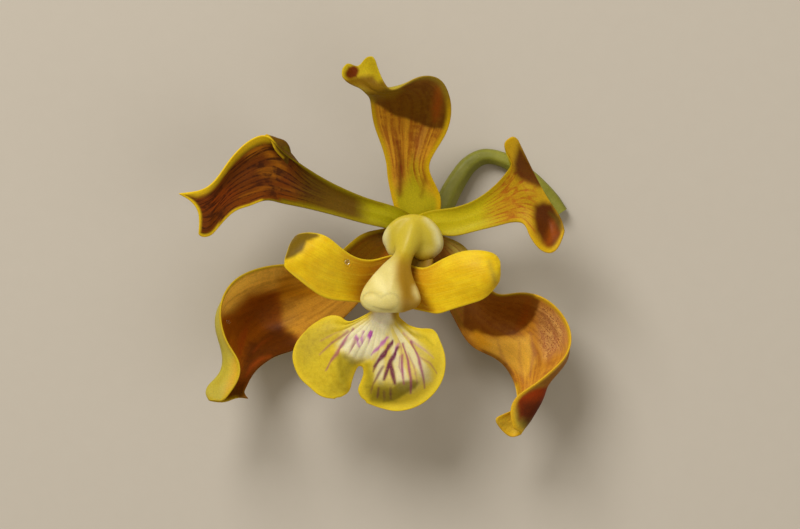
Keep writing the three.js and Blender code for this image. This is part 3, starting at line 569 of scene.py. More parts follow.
# Dorsal sepal. The net's rows run from its base to its tip, each from the left margin to the right one,
# with X, Y and Z of one point after another.
dorsalSepal = {
    "name": "DorsalSepal", "veinsName": "DorsalSepalVeins", "node": "dorsal_sepal", "slot": "sepal_gold",
    "grid": (150, 70, 24), "finer": (170, 76), "veins": (0.22, 0.36, 0.5, 0.64, 0.78), "veinGirth": 0.05,
    "net": [
        [-1.1, 0.8, 4.3, -0.3, 0.8, 4.2, 0.6, 0.7, 4.2, 1.5, 0.8, 4.2, 2.4, 0.8, 4.3],
        [-1.5, 2.3, 4.6, -0.6, 2.3, 4.3, 0.5, 2.3, 4.2, 1.6, 2.3, 4.3, 2.5, 2.3, 4.6],
        [-1.8, 3.8, 5.1, -1.0, 3.8, 4.6, 0.0, 3.8, 4.4, 1.0, 3.8, 4.6, 1.8, 3.7, 5.1],
        [-1.9, 5.0, 5.5, -1.1, 5.0, 5.0, -0.2, 5.0, 4.8, 0.8, 4.9, 5.0, 1.5, 4.8, 5.4],
        [-2.3, 6.4, 6.1, -1.3, 6.4, 5.6, -0.1, 6.3, 5.4, 1.1, 6.2, 5.5, 2.1, 6.0, 6.0],
        [-2.9, 8.0, 7.1, -1.6, 7.9, 6.4, 0.0, 7.8, 6.1, 1.5, 7.6, 6.1, 2.9, 7.3, 6.5],
        [-3.1, 9.3, 8.4, -1.7, 9.1, 7.6, 0.1, 9.0, 7.2, 1.8, 8.8, 7.0, 3.3, 8.7, 7.2],
        [-3.2, 10.0, 9.6, -1.8, 10.0, 9.1, 0.0, 10.1, 8.8, 1.9, 10.2, 8.4, 3.2, 10.2, 8.6],
        [-3.4, 10.3, 10.2, -2.2, 10.4, 10.0, -0.4, 10.7, 9.9, 0.8, 11.2, 9.7, 2.4, 11.7, 9.4],
        [-3.6, 10.5, 10.6, -2.7, 10.5, 10.5, -1.6, 10.6, 10.3, -0.5, 11.0, 10.4, 0.6, 11.8, 10.5],
        [-4.1, 10.9, 10.9, -3.4, 10.9, 10.6, -2.7, 10.8, 10.7, -2.0, 10.7, 11.0, -1.4, 10.5, 11.2],
        [-5.0, 11.3, 11.2, -4.3, 11.6, 10.5, -3.5, 11.8, 10.6, -2.95, 11.95, 10.7, -2.4, 12.0, 11.2],
        [-5.6, 12.0, 11.6, -5.0, 12.85, 10.9, -4.15, 12.6, 10.7, -3.5, 13.3, 11.0, -2.85, 13.4, 11.6],
    ],
    "root": [-0.9, -0.6, 4.1, -0.3, -0.7, 4.0, 0.5, -0.7, 4.0, 1.2, -0.7, 4.0, 1.9, -0.6, 4.1],
    "thickness": (0.5, 0.16),
    "corners": (0.55, 0.4),
    "zones": [
        patch("green", [(-1.8, -1), (-1.9, 2.4), (-1.1, 3.0), (-0.4, 4.0), (0.3, 5.6), (0.9, 4.2),
            (1.7, 2.9), (3, 2.2), (3, -1)], 0.9, side="both"),
        patch("green", [(-4, -2), (4, -2), (4, 9), (-4, 9)], 1.5, 0.7, side="back"),
        patch("bands", [(-0.85, 2.5), (-0.85, 3.8), (-0.8, 5.2), (-1.1, 6.8)], 0.35, 0.95,
            (0.15, 0.32, 0.1)),
        patch("bands", [(0.9, 2.3), (1.25, 3.6), (1.3, 5.2)], 0.3, 0.6, (0.05, 0.18, 0.05)),
        patch("blush", [(0.6, 5.6), (0.8, 7.0), (1.2, 8.0)], 0.6, 0.6, (0.1, 0.4, 0.2)),
        patch("veins", [(-6, 3.6), (5, 3.6), (5, 14), (-6, 14)], 1.0),
        patch("veins", strength=0.4, side="back"),
        # olive brown from the hood to the tip, in part painted shadow
        patch("neck", [(-3.2, 9.9), (-2.2, 10.2), (-1.2, 10.4), (-0.6, 10.9), (-1.4, 11.6), (-2.0, 12.2),
            (-3.2, 12.2), (-4.4, 11.9), (-5.4, 11.5), (-4.6, 10.4)], 0.3),
        # the forward arch: brown colour, darkened further with painted shade
        patch("hood", [(-3.4, 9.8), (-2.6, 9.7), (-2, 9.4), (-1.2, 8.9), (-0.3, 8.7), (0.7, 8.3),
            (1.5, 7.95), (3, 7.6), (4.2, 7.5), (4.2, 12.6), (0.5, 12.6), (-0.5, 11.3), (-1.2, 10.7),
            (-2.2, 10.5), (-3.2, 10.4)], 0.14, 0.9),
        patch("ember", [(2.1, 8.6), (2.2, 9.6), (2.3, 10.8)], 0.5, 0.6, (0.15, 0.4, 0.25)),
        patch("olive", soft=0.3, strength=0.9, margin=0.42, along=(0.6, 0.87)),
        patch("knob", [(-5.9, 11.4), (-4.9, 11.6), (-3.9, 11.85), (-2.9, 11.9), (-2.5, 11.4), (-1.9, 11.5),
            (-2, 13.9), (-5.9, 13.9)], 0.3),
        patch("spot", [(-4.8, 12.0), (-4.5, 12.25)], 0.16, width=(0.42, 0.5, 0.42)),
        patch("rim", soft=0.22, side="both", margin=0.36, along=(-0.1, 0.6)),
    ],
    "skin": {
        "name": "Dorsal sepal skin, waxed gold with brown veins", "front": "#d89a22", "reverse": "#a5982a",
        "under": {"green": "#a8980c", "bands": "#6c3800", "blush": "#c07c3c"},
        "smear": "#9c4c08", "smearing": 0.5, "streaks": 13, "vein": "#8a360a", "veining": 0.62,
        # the hood tone is brown with painted shade in it, and the neck tone is in part painted shadow
        "over": {"hood": "#5e3400", "neck": "#7a5806", "ember": "#a64e08", "olive": "#8e741a",
                 "knob": "#baa016", "spot": "#682a02", "rim": "#cca40c"},
        "veins": (8, 1.5, 0.2, 0.4), "veinlets": (17, 4, 0.2, 0.35), "gloss": 0.42,
    },
}
makeTepal(dorsalSepal)


# Left petal. Each row runs from the lower margin to the upper one.
leftPetal = {
    "name": "LeftPetal", "veinsName": "LeftPetalVeins", "node": "petal_left", "slot": "petal_brown",
    "grid": (150, 70, 30), "finer": (170, 76), "veins": (0.28, 0.5, 0.7), "veinGirth": 0.05,
    "net": [
        [-1.8, -0.3, 5.2, -1.5, 0.1, 5.1, -1.3, 0.6, 5.1, -1.2, 1.0, 5.1, -1.1, 1.5, 5.2],
        [-3.6, 0.1, 5.5, -3.7, 0.6, 5.2, -3.7, 1.2, 5.1, -3.7, 1.8, 5.2, -3.6, 2.2, 5.5],
        [-6.5, 0.9, 5.8, -6.5, 1.5, 5.4, -6.5, 2.2, 5.2, -6.5, 2.9, 5.4, -6.5, 3.5, 5.8],
        [-8.6, 1.4, 6.2, -8.5, 2.2, 5.8, -8.5, 3.1, 5.8, -8.5, 4.2, 6.3, -8.8, 4.9, 7.1],
        [-10.2, 1.7, 6.9, -10.2, 2.7, 6.5, -10.1, 4.2, 6.5, -9.8, 5.9, 7.3, -10.3, 5.9, 8.5],
        [-11.5, 2.0, 7.4, -11.5, 3.0, 7.1, -11.5, 4.6, 7.2, -11.3, 6.3, 7.9, -11.4, 7.2, 8.9],
        [-12.8, 1.5, 7.9, -13.0, 2.6, 7.6, -13.1, 4.0, 7.7, -13.0, 5.4, 8.1, -12.9, 6.7, 9.0],
        [-14.0, 1.1, 8.4, -14.5, 1.9, 8.3, -14.6, 3.0, 8.4, -14.5, 4.2, 8.7, -14.3, 5.3, 9.4],
        [-15.1, 0.0, 8.7, -15.5, 0.8, 8.8, -15.7, 1.8, 9.0, -15.6, 2.9, 9.3, -15.3, 3.8, 9.7],
        [-15.9, -0.9, 9.0, -16.2, 0.1, 9.3, -16.4, 1.2, 9.5, -16.6, 2.1, 9.7, -16.5, 2.8, 9.9],
        [-16.9, -1.0, 9.3, -16.8, 0.1, 9.6, -16.9, 1.1, 9.8, -17.5, 1.9, 10.0, -18.5, 2.5, 10.2],
    ],
    "root": [-0.3, -0.9, 4.6, -0.1, -0.5, 4.5, 0.1, -0.1, 4.5, 0.2, 0.3, 4.5, 0.3, 0.7, 4.6],
    "thickness": (0.48, 0.16),
    "corners": (0.35, 0.1),
    # a part of the upper margin that rolls forward, from behind the blade over its crest to the free edge
    "roll": [
        [-12.0, 6.4, 7.9, -11.6, 7.15, 8.4, -11.4, 7.2, 8.6],
        [-11.0, 5.9, 7.5, -10.7, 6.9, 8.3, -11.05, 6.55, 8.65],
        [-10.3, 5.3, 7.2, -9.85, 6.5, 7.95, -10.75, 5.9, 8.4],
        [-9.8, 4.7, 6.8, -9.5, 5.55, 7.25, -10.1, 5.2, 7.6],
    ],
    "rollGrid": (40, 30, 6), "rollFiner": (34, 26), "rollThickness": (0.3, 0.16),
    "rollZones": [
        patch("roll", side="both"),
        patch("rim", [(-11.5, 7.2), (-11.1, 6.6), (-10.8, 6.0), (-10.2, 5.4)], 0.14, 0.75,
            (0.14, 0.12, 0.06), "both"),
        patch("clawRim", [(-10.0, 6.1), (-9.6, 5.5)], 0.3, width=(0.1, 0.15, 0.1), side="both"),
    ],
    "zones": [
        patch("olive", [(-9.3, 0.8), (-8.8, 5.6), (-3, 3), (-3, -1), (-9, 0.6)], 1.2, 0.9),
        patch("olive", strength=0.5, side="back"),
        patch("green", [(-3.9, -2), (-3.6, 3.5), (2, 3.5), (2, -2)], 0.9, side="both"),
        patch("amber", [(-12.0, 4.3), (-11.0, 4.3), (-10.2, 4.6)], 0.5, width=(0.2, 0.6, 0.2)),
        patch("amber", [(-13.0, 5.6), (-12.0, 6.4), (-11.3, 6.8)], 0.4, 0.8, (0.2, 0.45, 0.3)),
        patch("amber", [(-11.5, 6.0), (-10.9, 5.4), (-10.2, 4.7)], 0.4, width=(0.2, 0.35, 0.2)),
        patch("amber", [(-13.6, 2.2), (-11.6, 3.0), (-9.4, 2.7)], 0.25, 0.6, (0.05, 0.15, 0.05)),
        patch("red", [(-15.9, 1.9), (-14.6, 2.6)], 0.7, 0.6, (0.7, 0.8, 0.5)),
        patch("veins", [(-7.4, 9), (-7.4, -2), (-20, -2), (-20, 9)], 1.4),
        patch("veins", strength=0.3, side="back"),
        patch("roll", [(-12.0, 8), (-9, 7.6), (-8.9, 4.4), (-10.8, 5.0)], 0.5, 0.85, side="back"),
        patch("clawRim", [(-10.6, -1), (-10.2, 6), (-2, 4), (-2, -2)], 0.25, 0.85, margin=0.3),
        patch("rim", [(-10.9, 5.6), (-10.9, 9), (-20, 9), (-20, 2.9), (-17.0, 2.3), (-15.6, 2.6),
            (-14.2, 3)], 0.36, 0.95, side="both", margin=0.66),
        patch("rim", [(-15.6, 3.2), (-20, 3.6), (-20, -2), (-15.4, -2), (-15.2, 0.4), (-16.0, 1.6)], 0.16,
            0.95, side="both", margin=0.26),
        patch("rim", [(-16.0, 1.0), (-16.0, -2), (-11.8, -2), (-11.8, 2.6)], 0.12, 0.8, margin=0.16),
        patch("clawRim", soft=0.1, strength=0.8, margin=0.12),
    ],
    "skin": {
        "name": "Left petal skin, waxed brown with netted veins", "front": "#723600", "reverse": "#6e5e08",
        "under": {"olive": "#5a4200", "green": "#9c9002", "amber": "#ae6808", "red": "#923a00"},
        "smear": "#4c2000", "smearing": 0.55, "streaks": 14, "vein": "#3e1800", "veining": 0.9,
        "over": {"roll": "#644406", "clawRim": "#847202", "rim": "#dcb614"},
        "veins": (11, 3.4, 0.22, 0.45), "veinlets": (24, 8, 0.22, 0.4), "gloss": 0.44,
    },
}
makeTepal(leftPetal)


# Right petal, with rows as the left one's. Its end spreads into a pointed upper wing and a scooped lower one.
rightPetal = {
    "name": "RightPetal", "veinsName": "RightPetalVeins", "node": "petal_right", "slot": "petal_yellow",
    "grid": (150, 70, 30), "finer": (170, 76), "veins": (0.3, 0.5, 0.7), "veinGirth": 0.05,
    "net": [
        [2.2, -0.8, 5.2, 2.0, -0.3, 5.1, 1.9, 0.2, 5.1, 1.8, 0.7, 5.1, 1.7, 1.2, 5.2],
        [3.6, -0.9, 5.5, 3.6, -0.3, 5.2, 3.6, 0.3, 5.1, 3.6, 0.9, 5.2, 3.5, 1.4, 5.5],
        [5.2, -0.5, 5.8, 5.3, 0.1, 5.4, 5.3, 0.8, 5.3, 5.3, 1.4, 5.4, 5.2, 2.0, 5.8],
        [6.9, -0.1, 6.3, 6.9, 0.6, 5.9, 6.9, 1.4, 5.8, 6.8, 2.2, 5.9, 6.7, 3.1, 6.4],
        [8.1, 0.2, 6.9, 8.2, 1.0, 6.6, 8.2, 2.0, 6.5, 8.0, 3.1, 6.6, 7.6, 4.1, 7.1],
        [9.1, 0.1, 7.6, 9.1, 1.1, 7.0, 8.9, 2.2, 6.9, 8.5, 3.6, 6.9, 8.1, 4.9, 7.6],
        [9.6, -1.0, 8.4, 9.9, 0.7, 7.1, 9.4, 2.3, 7.2, 8.6, 3.9, 7.1, 7.7, 5.8, 7.9],
        [10.5, -2.1, 8.6, 10.6, 0.2, 7.0, 10.0, 2.2, 7.3, 8.9, 4.2, 7.2, 7.5, 6.5, 8.1],
        [11.6, -2.2, 8.5, 11.3, -0.1, 6.9, 10.5, 2.1, 7.3, 9.4, 4.3, 7.2, 8.0, 7.0, 8.2],
        [12.45, -0.9, 8.1, 12.05, 0.6, 7.4, 10.95, 2.25, 7.2, 9.8, 4.4, 7.3, 8.5, 7.1, 8.2],
    ],
    "root": [0.9, -0.9, 4.6, 0.7, -0.5, 4.5, 0.5, -0.1, 4.5, 0.4, 0.3, 4.5, 0.3, 0.7, 4.6],
    "thickness": (0.48, 0.16),
    "corners": (0.8, 0.35),
    "zones": [
        patch("green", [(0, -3), (0, 3), (6.6, 4), (6.8, 0.4), (6.6, -3)], 1.2, side="both"),
        patch("amber", [(9.4, 2.0), (10.2, 2.8), (10.7, 3.4)], 0.4, 0.5, (0.3, 0.4, 0.2)),
        patch("veins", [(6.3, -2), (6.1, 5), (8.6, 5), (10, 3.4), (10, -2)], 0.8),
        patch("veins", strength=0.3, side="back"),
        # brown on the upper wing and in the lower scoop: brown colour deepened with painted shade
        patch("brown", [(8.7, 6.4), (9.3, 5.6), (10.0, 4.4), (10.8, 3.2), (10.3, 3.0), (9.6, 3.3),
            (8.8, 3.7), (8.35, 4.3), (8.3, 5.0)], 0.3, 0.95),
        patch("brown", [(10.0, 1.6), (10.6, 1.85), (11.4, 1.7), (12.1, 0.4), (12.2, -0.9), (11.6, -1.7),
            (11.0, -1.95), (10.5, -1.5), (9.95, -0.6), (9.8, 0.5)], 0.3),
        patch("ember", [(11.5, 0.2), (11.5, -0.8), (11.0, -1.5)], 0.5, 0.85, (0.2, 0.5, 0.3)),
        patch("reverse", [(11.2, 1.0), (11.8, 0.5), (12.1, -0.3)], 0.25, 0.7, (0.1, 0.2, 0.1)),
        patch("rim", [(8.8, 2), (8.6, -3), (12.8, -3), (12.8, -0.9), (11, 0.4), (10, 2)], 0.25, side="both",
            margin=0.4),
        patch("rim", [(7.2, 9), (7.0, 4.4), (8.1, 3.8), (8.5, 9)], 0.25, margin=0.3),
        patch("clawRim", [(1, -2), (1, 3), (7.6, 6), (9, 2), (8.8, -2)], 0.2, 0.7, margin=0.2),
    ],
    "skin": {
        "name": "Right petal skin, waxed yellow with orange veins", "front": "#b48c12", "reverse": "#a8a01e",
        "under": {"green": "#b4a20c", "amber": "#a8860c"},
        "smear": "#b07018", "smearing": 0.4, "streaks": 12, "vein": "#9e5010", "veining": 0.8,
        # the brown tone holds painted shade as well as the wings' own colour
        "over": {"brown": "#542600", "ember": "#8a4000", "reverse": "#5a480c", "rim": "#bc940a",
                 "clawRim": "#a48c02"},
        "veins": (10, 3.4, 0.2, 0.4), "veinlets": (22, 8, 0.2, 0.35), "gloss": 0.44,
    },
}
makeTepal(rightPetal)


# Left lateral sepal. Each row runs from the margin beside the lip to the outer one, which is folded over.
leftSepal = {
    "name": "LeftLateralSepal", "veinsName": "LeftSepalVeins",
    "node": "lateral_sepal_left", "slot": "sepal_brown",
    "grid": (160, 80, 40), "finer": (190, 84), "veins": (0.2, 0.34, 0.62), "veinGirth": 0.05,
    "net": [
        [-0.6, -1.6, 4.3, -0.9, -1.3, 4.2, -1.3, -0.9, 4.2, -1.6, -0.6, 4.2, -2.0, -0.3, 4.3],
        [-1.7, -3.1, 4.1, -2.2, -2.6, 3.8, -2.8, -2.0, 3.7, -3.4, -1.3, 3.8, -4.0, -0.6, 4.1],
        [-3.0, -4.9, 3.6, -3.8, -4.3, 3.1, -4.5, -3.7, 2.9, -5.2, -3.0, 3.1, -5.7, -2.3, 3.6],
        [-4.8, -7.0, 3.0, -6.0, -6.1, 2.0, -6.9, -5.1, 1.6, -7.5, -4.1, 2.0, -7.9, -3.1, 3.0],
        [-7.0, -9.0, 2.4, -8.4, -7.6, 0.8, -9.4, -6.2, -0.2, -10.0, -4.6, 1.3, -10.4, -3.1, 3.2],
        [-9.4, -10.1, 2.7, -10.6, -8.6, 0.2, -11.4, -7.2, -0.8, -12.2, -5.3, 1.5, -12.8, -3.6, 4.2],
        [-10.8, -10.5, 3.4, -11.8, -9.2, 1.0, -12.7, -7.7, 0.2, -13.8, -6.0, 2.4, -14.5, -4.7, 5.1],
        [-11.7, -11.1, 4.0, -12.5, -10.0, 2.2, -13.5, -8.6, 1.6, -15.1, -6.7, 4.0, -15.2, -6.4, 6.2],
        [-12.2, -11.5, 4.6, -13.0, -10.7, 3.0, -13.9, -9.6, 2.5, -15.5, -8.2, 4.6, -15.1, -8.0, 6.8],
        [-12.6, -12.0, 5.2, -13.4, -11.4, 3.9, -14.2, -10.7, 3.6, -15.05, -9.6, 5.3, -14.6, -9.5, 7.4],
        [-12.9, -12.5, 5.8, -13.7, -12.1, 4.8, -14.4, -11.6, 4.7, -14.8, -11.0, 6.2, -13.7, -10.7, 8.0],
        [-13.1, -13.0, 6.4, -13.9, -12.8, 5.6, -14.8, -12.5, 5.7, -15.2, -12.2, 6.9, -13.5, -11.9, 8.4],
        [-13.3, -13.4, 7.0, -14.0, -13.4, 6.4, -15.2, -13.5, 6.6, -16.4, -13.2, 7.6, -14.1, -13.1, 8.7],
        [-12.9, -13.9, 7.3, -13.8, -13.8, 7.1, -14.9, -14.2, 7.2, -16.1, -14.0, 7.9, -14.9, -14.1, 8.7],
    ],
    "root": [0.3, -1.0, 4.1, 0.1, -0.7, 4.0, -0.1, -0.4, 4.0, -0.3, -0.1, 4.0, -0.5, 0.3, 4.1],
    "thickness": (0.5, 0.16),
    "corners": (0.15, 0.3),
    "zones": [
        # painted light: a bright band along the sepal's upper part
        patch("band", [(-8, -2), (-17, -2), (-17, -7.4), (-14.6, -6.9), (-13.2, -5.4), (-10.9, -4.9),
            (-8, -4.8)], 0.6),
        patch("lit", [(-10.3, -5.6), (-10.4, -7), (-10.3, -8.1), (-9.8, -8.9), (-8.8, -9.2), (-6.5, -8.8),
            (-4, -7.2), (-2.6, -5), (-5, -4.5), (-7.5, -5.4)], 0.45),
        patch("shade", [(-10.8, -4.4), (-10.4, -5.8), (-7.5, -5.6), (-5, -4.6), (-3, -3), (-6, -2.6),
            (-10, -3.2)], 0.5, 0.8),
        # olive at the base, darkened in part as painted shade under the lip
        patch("olive", [(-7, -2.4), (-4.5, -4), (-2.5, -3), (0, 0), (-3, 1), (-6, -0.6)], 0.6, 0.9),
        # brown colour deepened with the painted shadow of the petal and the side lobe
        patch("dark", [(-14.6, -7.4), (-13.6, -6.8), (-12.4, -5.9), (-11.0, -5.4), (-10.6, -6.4),
            (-10.45, -8.0), (-9.9, -9.0), (-9.0, -9.5), (-8.4, -10.4), (-10.5, -12), (-12.6, -14.6),
            (-15, -14.4), (-13.6, -10.5), (-14.8, -8.5)], 0.6, 0.92),
        patch("red", [(-13.2, -7.6), (-13.7, -9.0), (-14.0, -10.4)], 0.35, 0.8, (0.05, 0.25, 0.1)),
        patch("veins", strength=0.6),
        patch("veins", strength=0.35, side="back"),
        patch("tip", [(-14.4, -13.2), (-12.6, -13.0), (-12.6, -14.6), (-14.6, -14.6)], 0.4, 0.9),
        # the darkest part of that painted shadow, over dark brown
        patch("deep", [(-10.7, -8.2), (-9.5, -8.8), (-8.4, -9.8), (-9.6, -11.2), (-11.4, -12.0),
            (-13.3, -13.0), (-13.4, -10.8), (-13.0, -9.6), (-12.4, -9.4), (-11.6, -8.8)], 0.55, 0.86),
        patch("flare", [(-13.4, -8.6), (-13.7, -9.6), (-13.8, -10.6)], 0.3, 0.8, (0.05, 0.22, 0.08)),
        patch("flare", [(-13.1, -12.2), (-12.7, -11.5), (-12.0, -10.9), (-11.2, -10.6)], 0.22, 0.7,
            (0.06, 0.14, 0.04)),
        patch("flare", [(-12.6, -10.4), (-12.1, -9.8), (-11.2, -9.2)], 0.25, 0.4, (0.04, 0.1, 0.04)),
        patch("warm", [(-13.9, -10.7), (-13.8, -12.0), (-14.5, -13.5)], 0.4, 0.8, (0.15, 0.4, 0.3),
            side="back"),
        patch("flap", [(-17, -6), (-12.5, -6), (-12.5, -15), (-17, -15)], 0.8, side="back", margin=1.0),
        patch("rim", [(-1, 1), (-17, 1), (-17, -15), (-13.9, -15), (-13.6, -12), (-13.4, -8), (-11, -5),
            (-2, -1.2)], 0.2, 0.9, margin=0.26),
        patch("rim", soft=0.2, strength=0.8, side="back", margin=0.3),
    ],
    "skin": {
        "name": "Left sepal skin, waxed dark brown", "front": "#a65c08", "reverse": "#b0a02c",
        # under and over: painted light on the band and the lit middle, painted shade, and brown deepened with
        # painted shadow
        "under": {"band": "#ffc84a", "lit": "#c98e26", "shade": "#cc8c12", "olive": "#6a4a02",
                  "dark": "#8a4804", "red": "#94440a"},
        "smear": "#7a3c02", "smearing": 0.4, "streaks": 10, "vein": "#642c00", "veining": 0.5,
        "over": {"deep": "#481f00", "flare": "#8c3c08", "tip": "#7a5008", "flap": "#b4a23c",
                 "warm": "#c4921e", "rim": "#b89a10"},
        "veins": (9, 1.6, 0.2, 0.4), "veinlets": (19, 5, 0.2, 0.35), "gloss": 0.42,
    },
}
makeTepal(leftSepal)


# Right lateral sepal, laid out as the left one.
rightSepal = {
    "name": "RightLateralSepal", "veinsName": "RightSepalVeins",
    "node": "lateral_sepal_right", "slot": "sepal_gold",
    "grid": (160, 80, 40), "finer": (190, 84), "veins": (0.2, 0.34, 0.62), "veinGirth": 0.05,
    "net": [
        [0.7, -1.7, 4.3, 1.1, -1.5, 4.2, 1.5, -1.2, 4.2, 1.9, -1.0, 4.2, 2.3, -0.8, 4.3],
        [1.4, -3.4, 4.1, 2.1, -3.0, 3.8, 2.8, -2.6, 3.7, 3.6, -2.1, 3.8, 4.5, -1.5, 4.1],
        [2.3, -5.3, 3.6, 3.1, -4.9, 3.0, 3.9, -4.5, 2.8, 4.7, -4.1, 3.0, 5.5, -3.6, 3.6],
        [3.4, -7.2, 3.0, 4.3, -6.8, 2.1, 5.2, -6.3, 1.8, 6.0, -6.0, 2.1, 6.8, -5.7, 2.9],
        [4.1, -8.6, 2.6, 5.4, -8.15, 1.2, 6.6, -7.4, 0.8, 7.6, -6.5, 1.3, 8.4, -5.4, 3.0],
        [5.05, -9.9, 2.7, 6.6, -9.25, 0.9, 8.0, -8.3, -0.6, 9.2, -7.0, 1.1, 10.2, -5.5, 3.8],
        [6.6, -10.5, 3.1, 7.8, -9.9, 1.4, 9.1, -9.1, 0.7, 10.6, -7.9, 1.7, 11.9, -6.6, 4.5],
        [7.5, -11.2, 3.7, 8.7, -10.7, 2.3, 10.0, -10.0, 1.7, 11.7, -9.1, 2.7, 13.0, -8.5, 5.1],
        [8.0, -11.9, 4.2, 9.1, -11.5, 3.1, 10.3, -11.0, 2.7, 12.6, -10.4, 4.2, 12.7, -10.3, 6.0],
        [8.3, -12.5, 4.7, 9.2, -12.3, 3.9, 10.1, -12.1, 3.7, 11.9, -11.6, 5.0, 11.3, -11.7, 6.7],
        [8.5, -13.1, 5.1, 9.2, -13.1, 4.5, 10.0, -12.9, 4.5, 11.0, -12.6, 5.7, 9.9, -12.8, 7.2],
        [8.6, -13.9, 5.5, 9.2, -13.9, 5.1, 9.9, -13.8, 5.2, 10.7, -13.4, 6.2, 8.7, -13.5, 7.5],
        [8.5, -14.7, 5.9, 9.0, -14.7, 5.5, 9.7, -14.6, 5.6, 10.3, -14.2, 6.6, 8.1, -14.3, 7.7],
        [7.7, -15.0, 6.6, 8.3, -15.5, 6.1, 9.1, -15.7, 6.1, 9.6, -15.3, 6.9, 8.0, -15.2, 7.9],
        [6.7, -15.5, 7.3, 7.3, -16.4, 6.7, 8.1, -17.0, 6.5, 8.9, -16.7, 6.9, 8.3, -16.3, 7.8],
    ],
    "root": [0.0, -1.0, 4.1, 0.3, -0.8, 4.0, 0.6, -0.5, 4.0, 0.9, -0.2, 4.0, 1.3, 0.1, 4.1],
    "thickness": (0.5, 0.16),
    "corners": (0.5, 0.3),
    "zones": [
        patch("base", [(2.2, 0.6), (5.4, 0.4), (5.8, -2.4), (3.9, -2.5), (3.0, -1.9)], 0.5),
        # olive along the inner margin, in part painted shade beside the lip
        patch("olive", [(-1, 1), (2.4, 0.4), (3.2, -2.4), (4.6, -5.6), (5, -8.4), (3.4, -8.6), (1, -5),
            (-1, -2)], 0.8, 0.9),
        patch("gold", [(5.2, -8.8), (6.5, -9.2), (8.4, -9.2), (9.8, -9.0), (10.0, -11.4), (9.4, -12.6),
            (7.8, -11.3), (6.0, -10.2)], 0.6),
        patch("rose", [(10.4, -6.4), (12, -7), (12.8, -8.6), (12.3, -10), (11, -10.8), (10.6, -9)], 0.6,
            0.85),
        # painted cast shadow of the side lobe and the column on the gold face
        patch("dark", [(10.5, -5.0), (10.5, -6.4), (10.1, -7.4), (9.4, -8.4), (8.4, -9.0), (7.0, -9.15),
            (6.2, -8.95), (5.0, -8.75), (4.2, -8.2), (4.2, -6), (4.2, -4), (6, -3.2), (9, -4.2)], 0.13,
            0.88),
        patch("veins"),
        patch("veins", strength=0.4, side="back"),
        patch("speckled", [(10.6, -6.0), (12.0, -6.6), (12.9, -8.4), (12.4, -10.0), (11.0, -11.2),
            (10.5, -9.2)], 0.5),
        patch("ember", [(9.6, -6.0), (9.4, -7.4), (8.8, -8.3)], 0.4, 0.6, (0.1, 0.35, 0.2)),
        patch("amber", [(5.2, -8.9), (5.7, -9.5), (6.4, -9.9)], 0.3, 0.8, (0.3, 0.4, 0.1)),
        # painted light on the gold face, where it slopes away from the key light
        patch("glow", [(4.8, -9.0), (6.5, -9.35), (8.4, -9.35), (9.8, -9.0), (10.2, -11.2), (9.2, -12.4),
            (8.0, -11.3), (6.2, -10.1)], 0.3, 0.62),
        patch("streak", [(8.9, -9.3), (8.8, -11.0), (9.0, -12.8)], 0.2, 0.35, (0.06, 0.14, 0.06)),
        patch("streak", [(9.9, -8.8), (10.1, -10.5), (9.6, -12.3)], 0.2, 0.55, (0.1, 0.22, 0.08)),
        patch("streak", [(10.9, -6.9), (11.75, -8.3), (12.0, -9.6), (11.3, -11.0)], 0.18, 0.5,
            (0.06, 0.16, 0.06)),
        patch("streak", [(11.6, -6.9), (12.45, -8.3), (12.6, -9.4), (12.2, -10.4)], 0.14, 0.5,
            (0.04, 0.12, 0.05)),
        patch("streak", [(10.4, -7.8), (11.0, -9.2), (10.9, -10.6)], 0.14, 0.5, (0.04, 0.1, 0.04)),
        patch("streak", [(7.0, -9.5), (7.3, -10.5), (8.2, -12.0)], 0.15, 0.45, (0.05, 0.12, 0.05)),
        patch("curl", [(5.9, -10.2), (7.0, -10.9), (7.9, -11.9), (8.4, -13.0)], 0.22, 0.9,
            (0.04, 0.34, 0.12)),
        patch("fold", [(11.6, -12.4), (11, -15.4), (8.6, -15.5), (8.3, -13.8), (9.8, -12.9)], 0.4,
            side="back"),
        patch("foldLight", [(12.4, -9.4), (14, -9.4), (12.4, -13), (11.0, -13.0), (10.0, -12.7),
            (11.3, -11.4)], 0.4, 0.95, side="back"),
        patch("foldDark", [(10.6, -13.9), (10.6, -16.4), (9.3, -16.4), (8.8, -15.8), (8.6, -14.8),
            (8.8, -14.2)], 0.5, 0.85, side="back"),
        patch("tip", [(6, -15.0), (8.0, -15.0), (8.3, -15.8), (9.1, -16.5), (11, -17.2), (11, -18),
            (6, -18)], 0.35, side="both"),
        patch("rim", [(9.6, -4.6), (10.4, -6.6), (8.8, -12.4), (8.0, -13.4), (7, -15), (7, -18), (15, -18),
            (15, -4.6)], 0.22, 0.95, side="both", margin=0.34),
        patch("clawRim", [(1, 0), (10, -4), (10, -6), (5, -8), (2, -4)], 0.2, 0.7, margin=0.24),
    ],
    "skin": {
        "name": "Right sepal skin, waxed gold with pink-brown veins",
        "front": "#ce8e28", "reverse": "#a99a30", "speckle": "#8e4a2a",
        "under": {"base": "#d8c45a", "olive": "#74500a", "gold": "#e0a62c", "rose": "#f2bc6c"},
        "smear": "#b4702c", "smearing": 0.45, "streaks": 13, "vein": "#8e4c1c", "veining": 0.5,
        # the over tones include painted light on the gold face and a painted cast shadow above it
        "over": {"glow": "#fac448", "streak": "#ac6a42", "dark": "#6c3802", "ember": "#843c00",
                 "amber": "#e2a01c", "curl": "#683a00", "fold": "#802c00", "foldLight": "#8c5614",
                 "foldDark": "#481a00", "tip": "#caa428", "rim": "#cca01a", "clawRim": "#8c7208"},
        "veins": (10, 1.3, 0.25, 0.35), "veinlets": (22, 6, 0.2, 0.35), "gloss": 0.44,
    },
}
makeTepal(rightSepal)


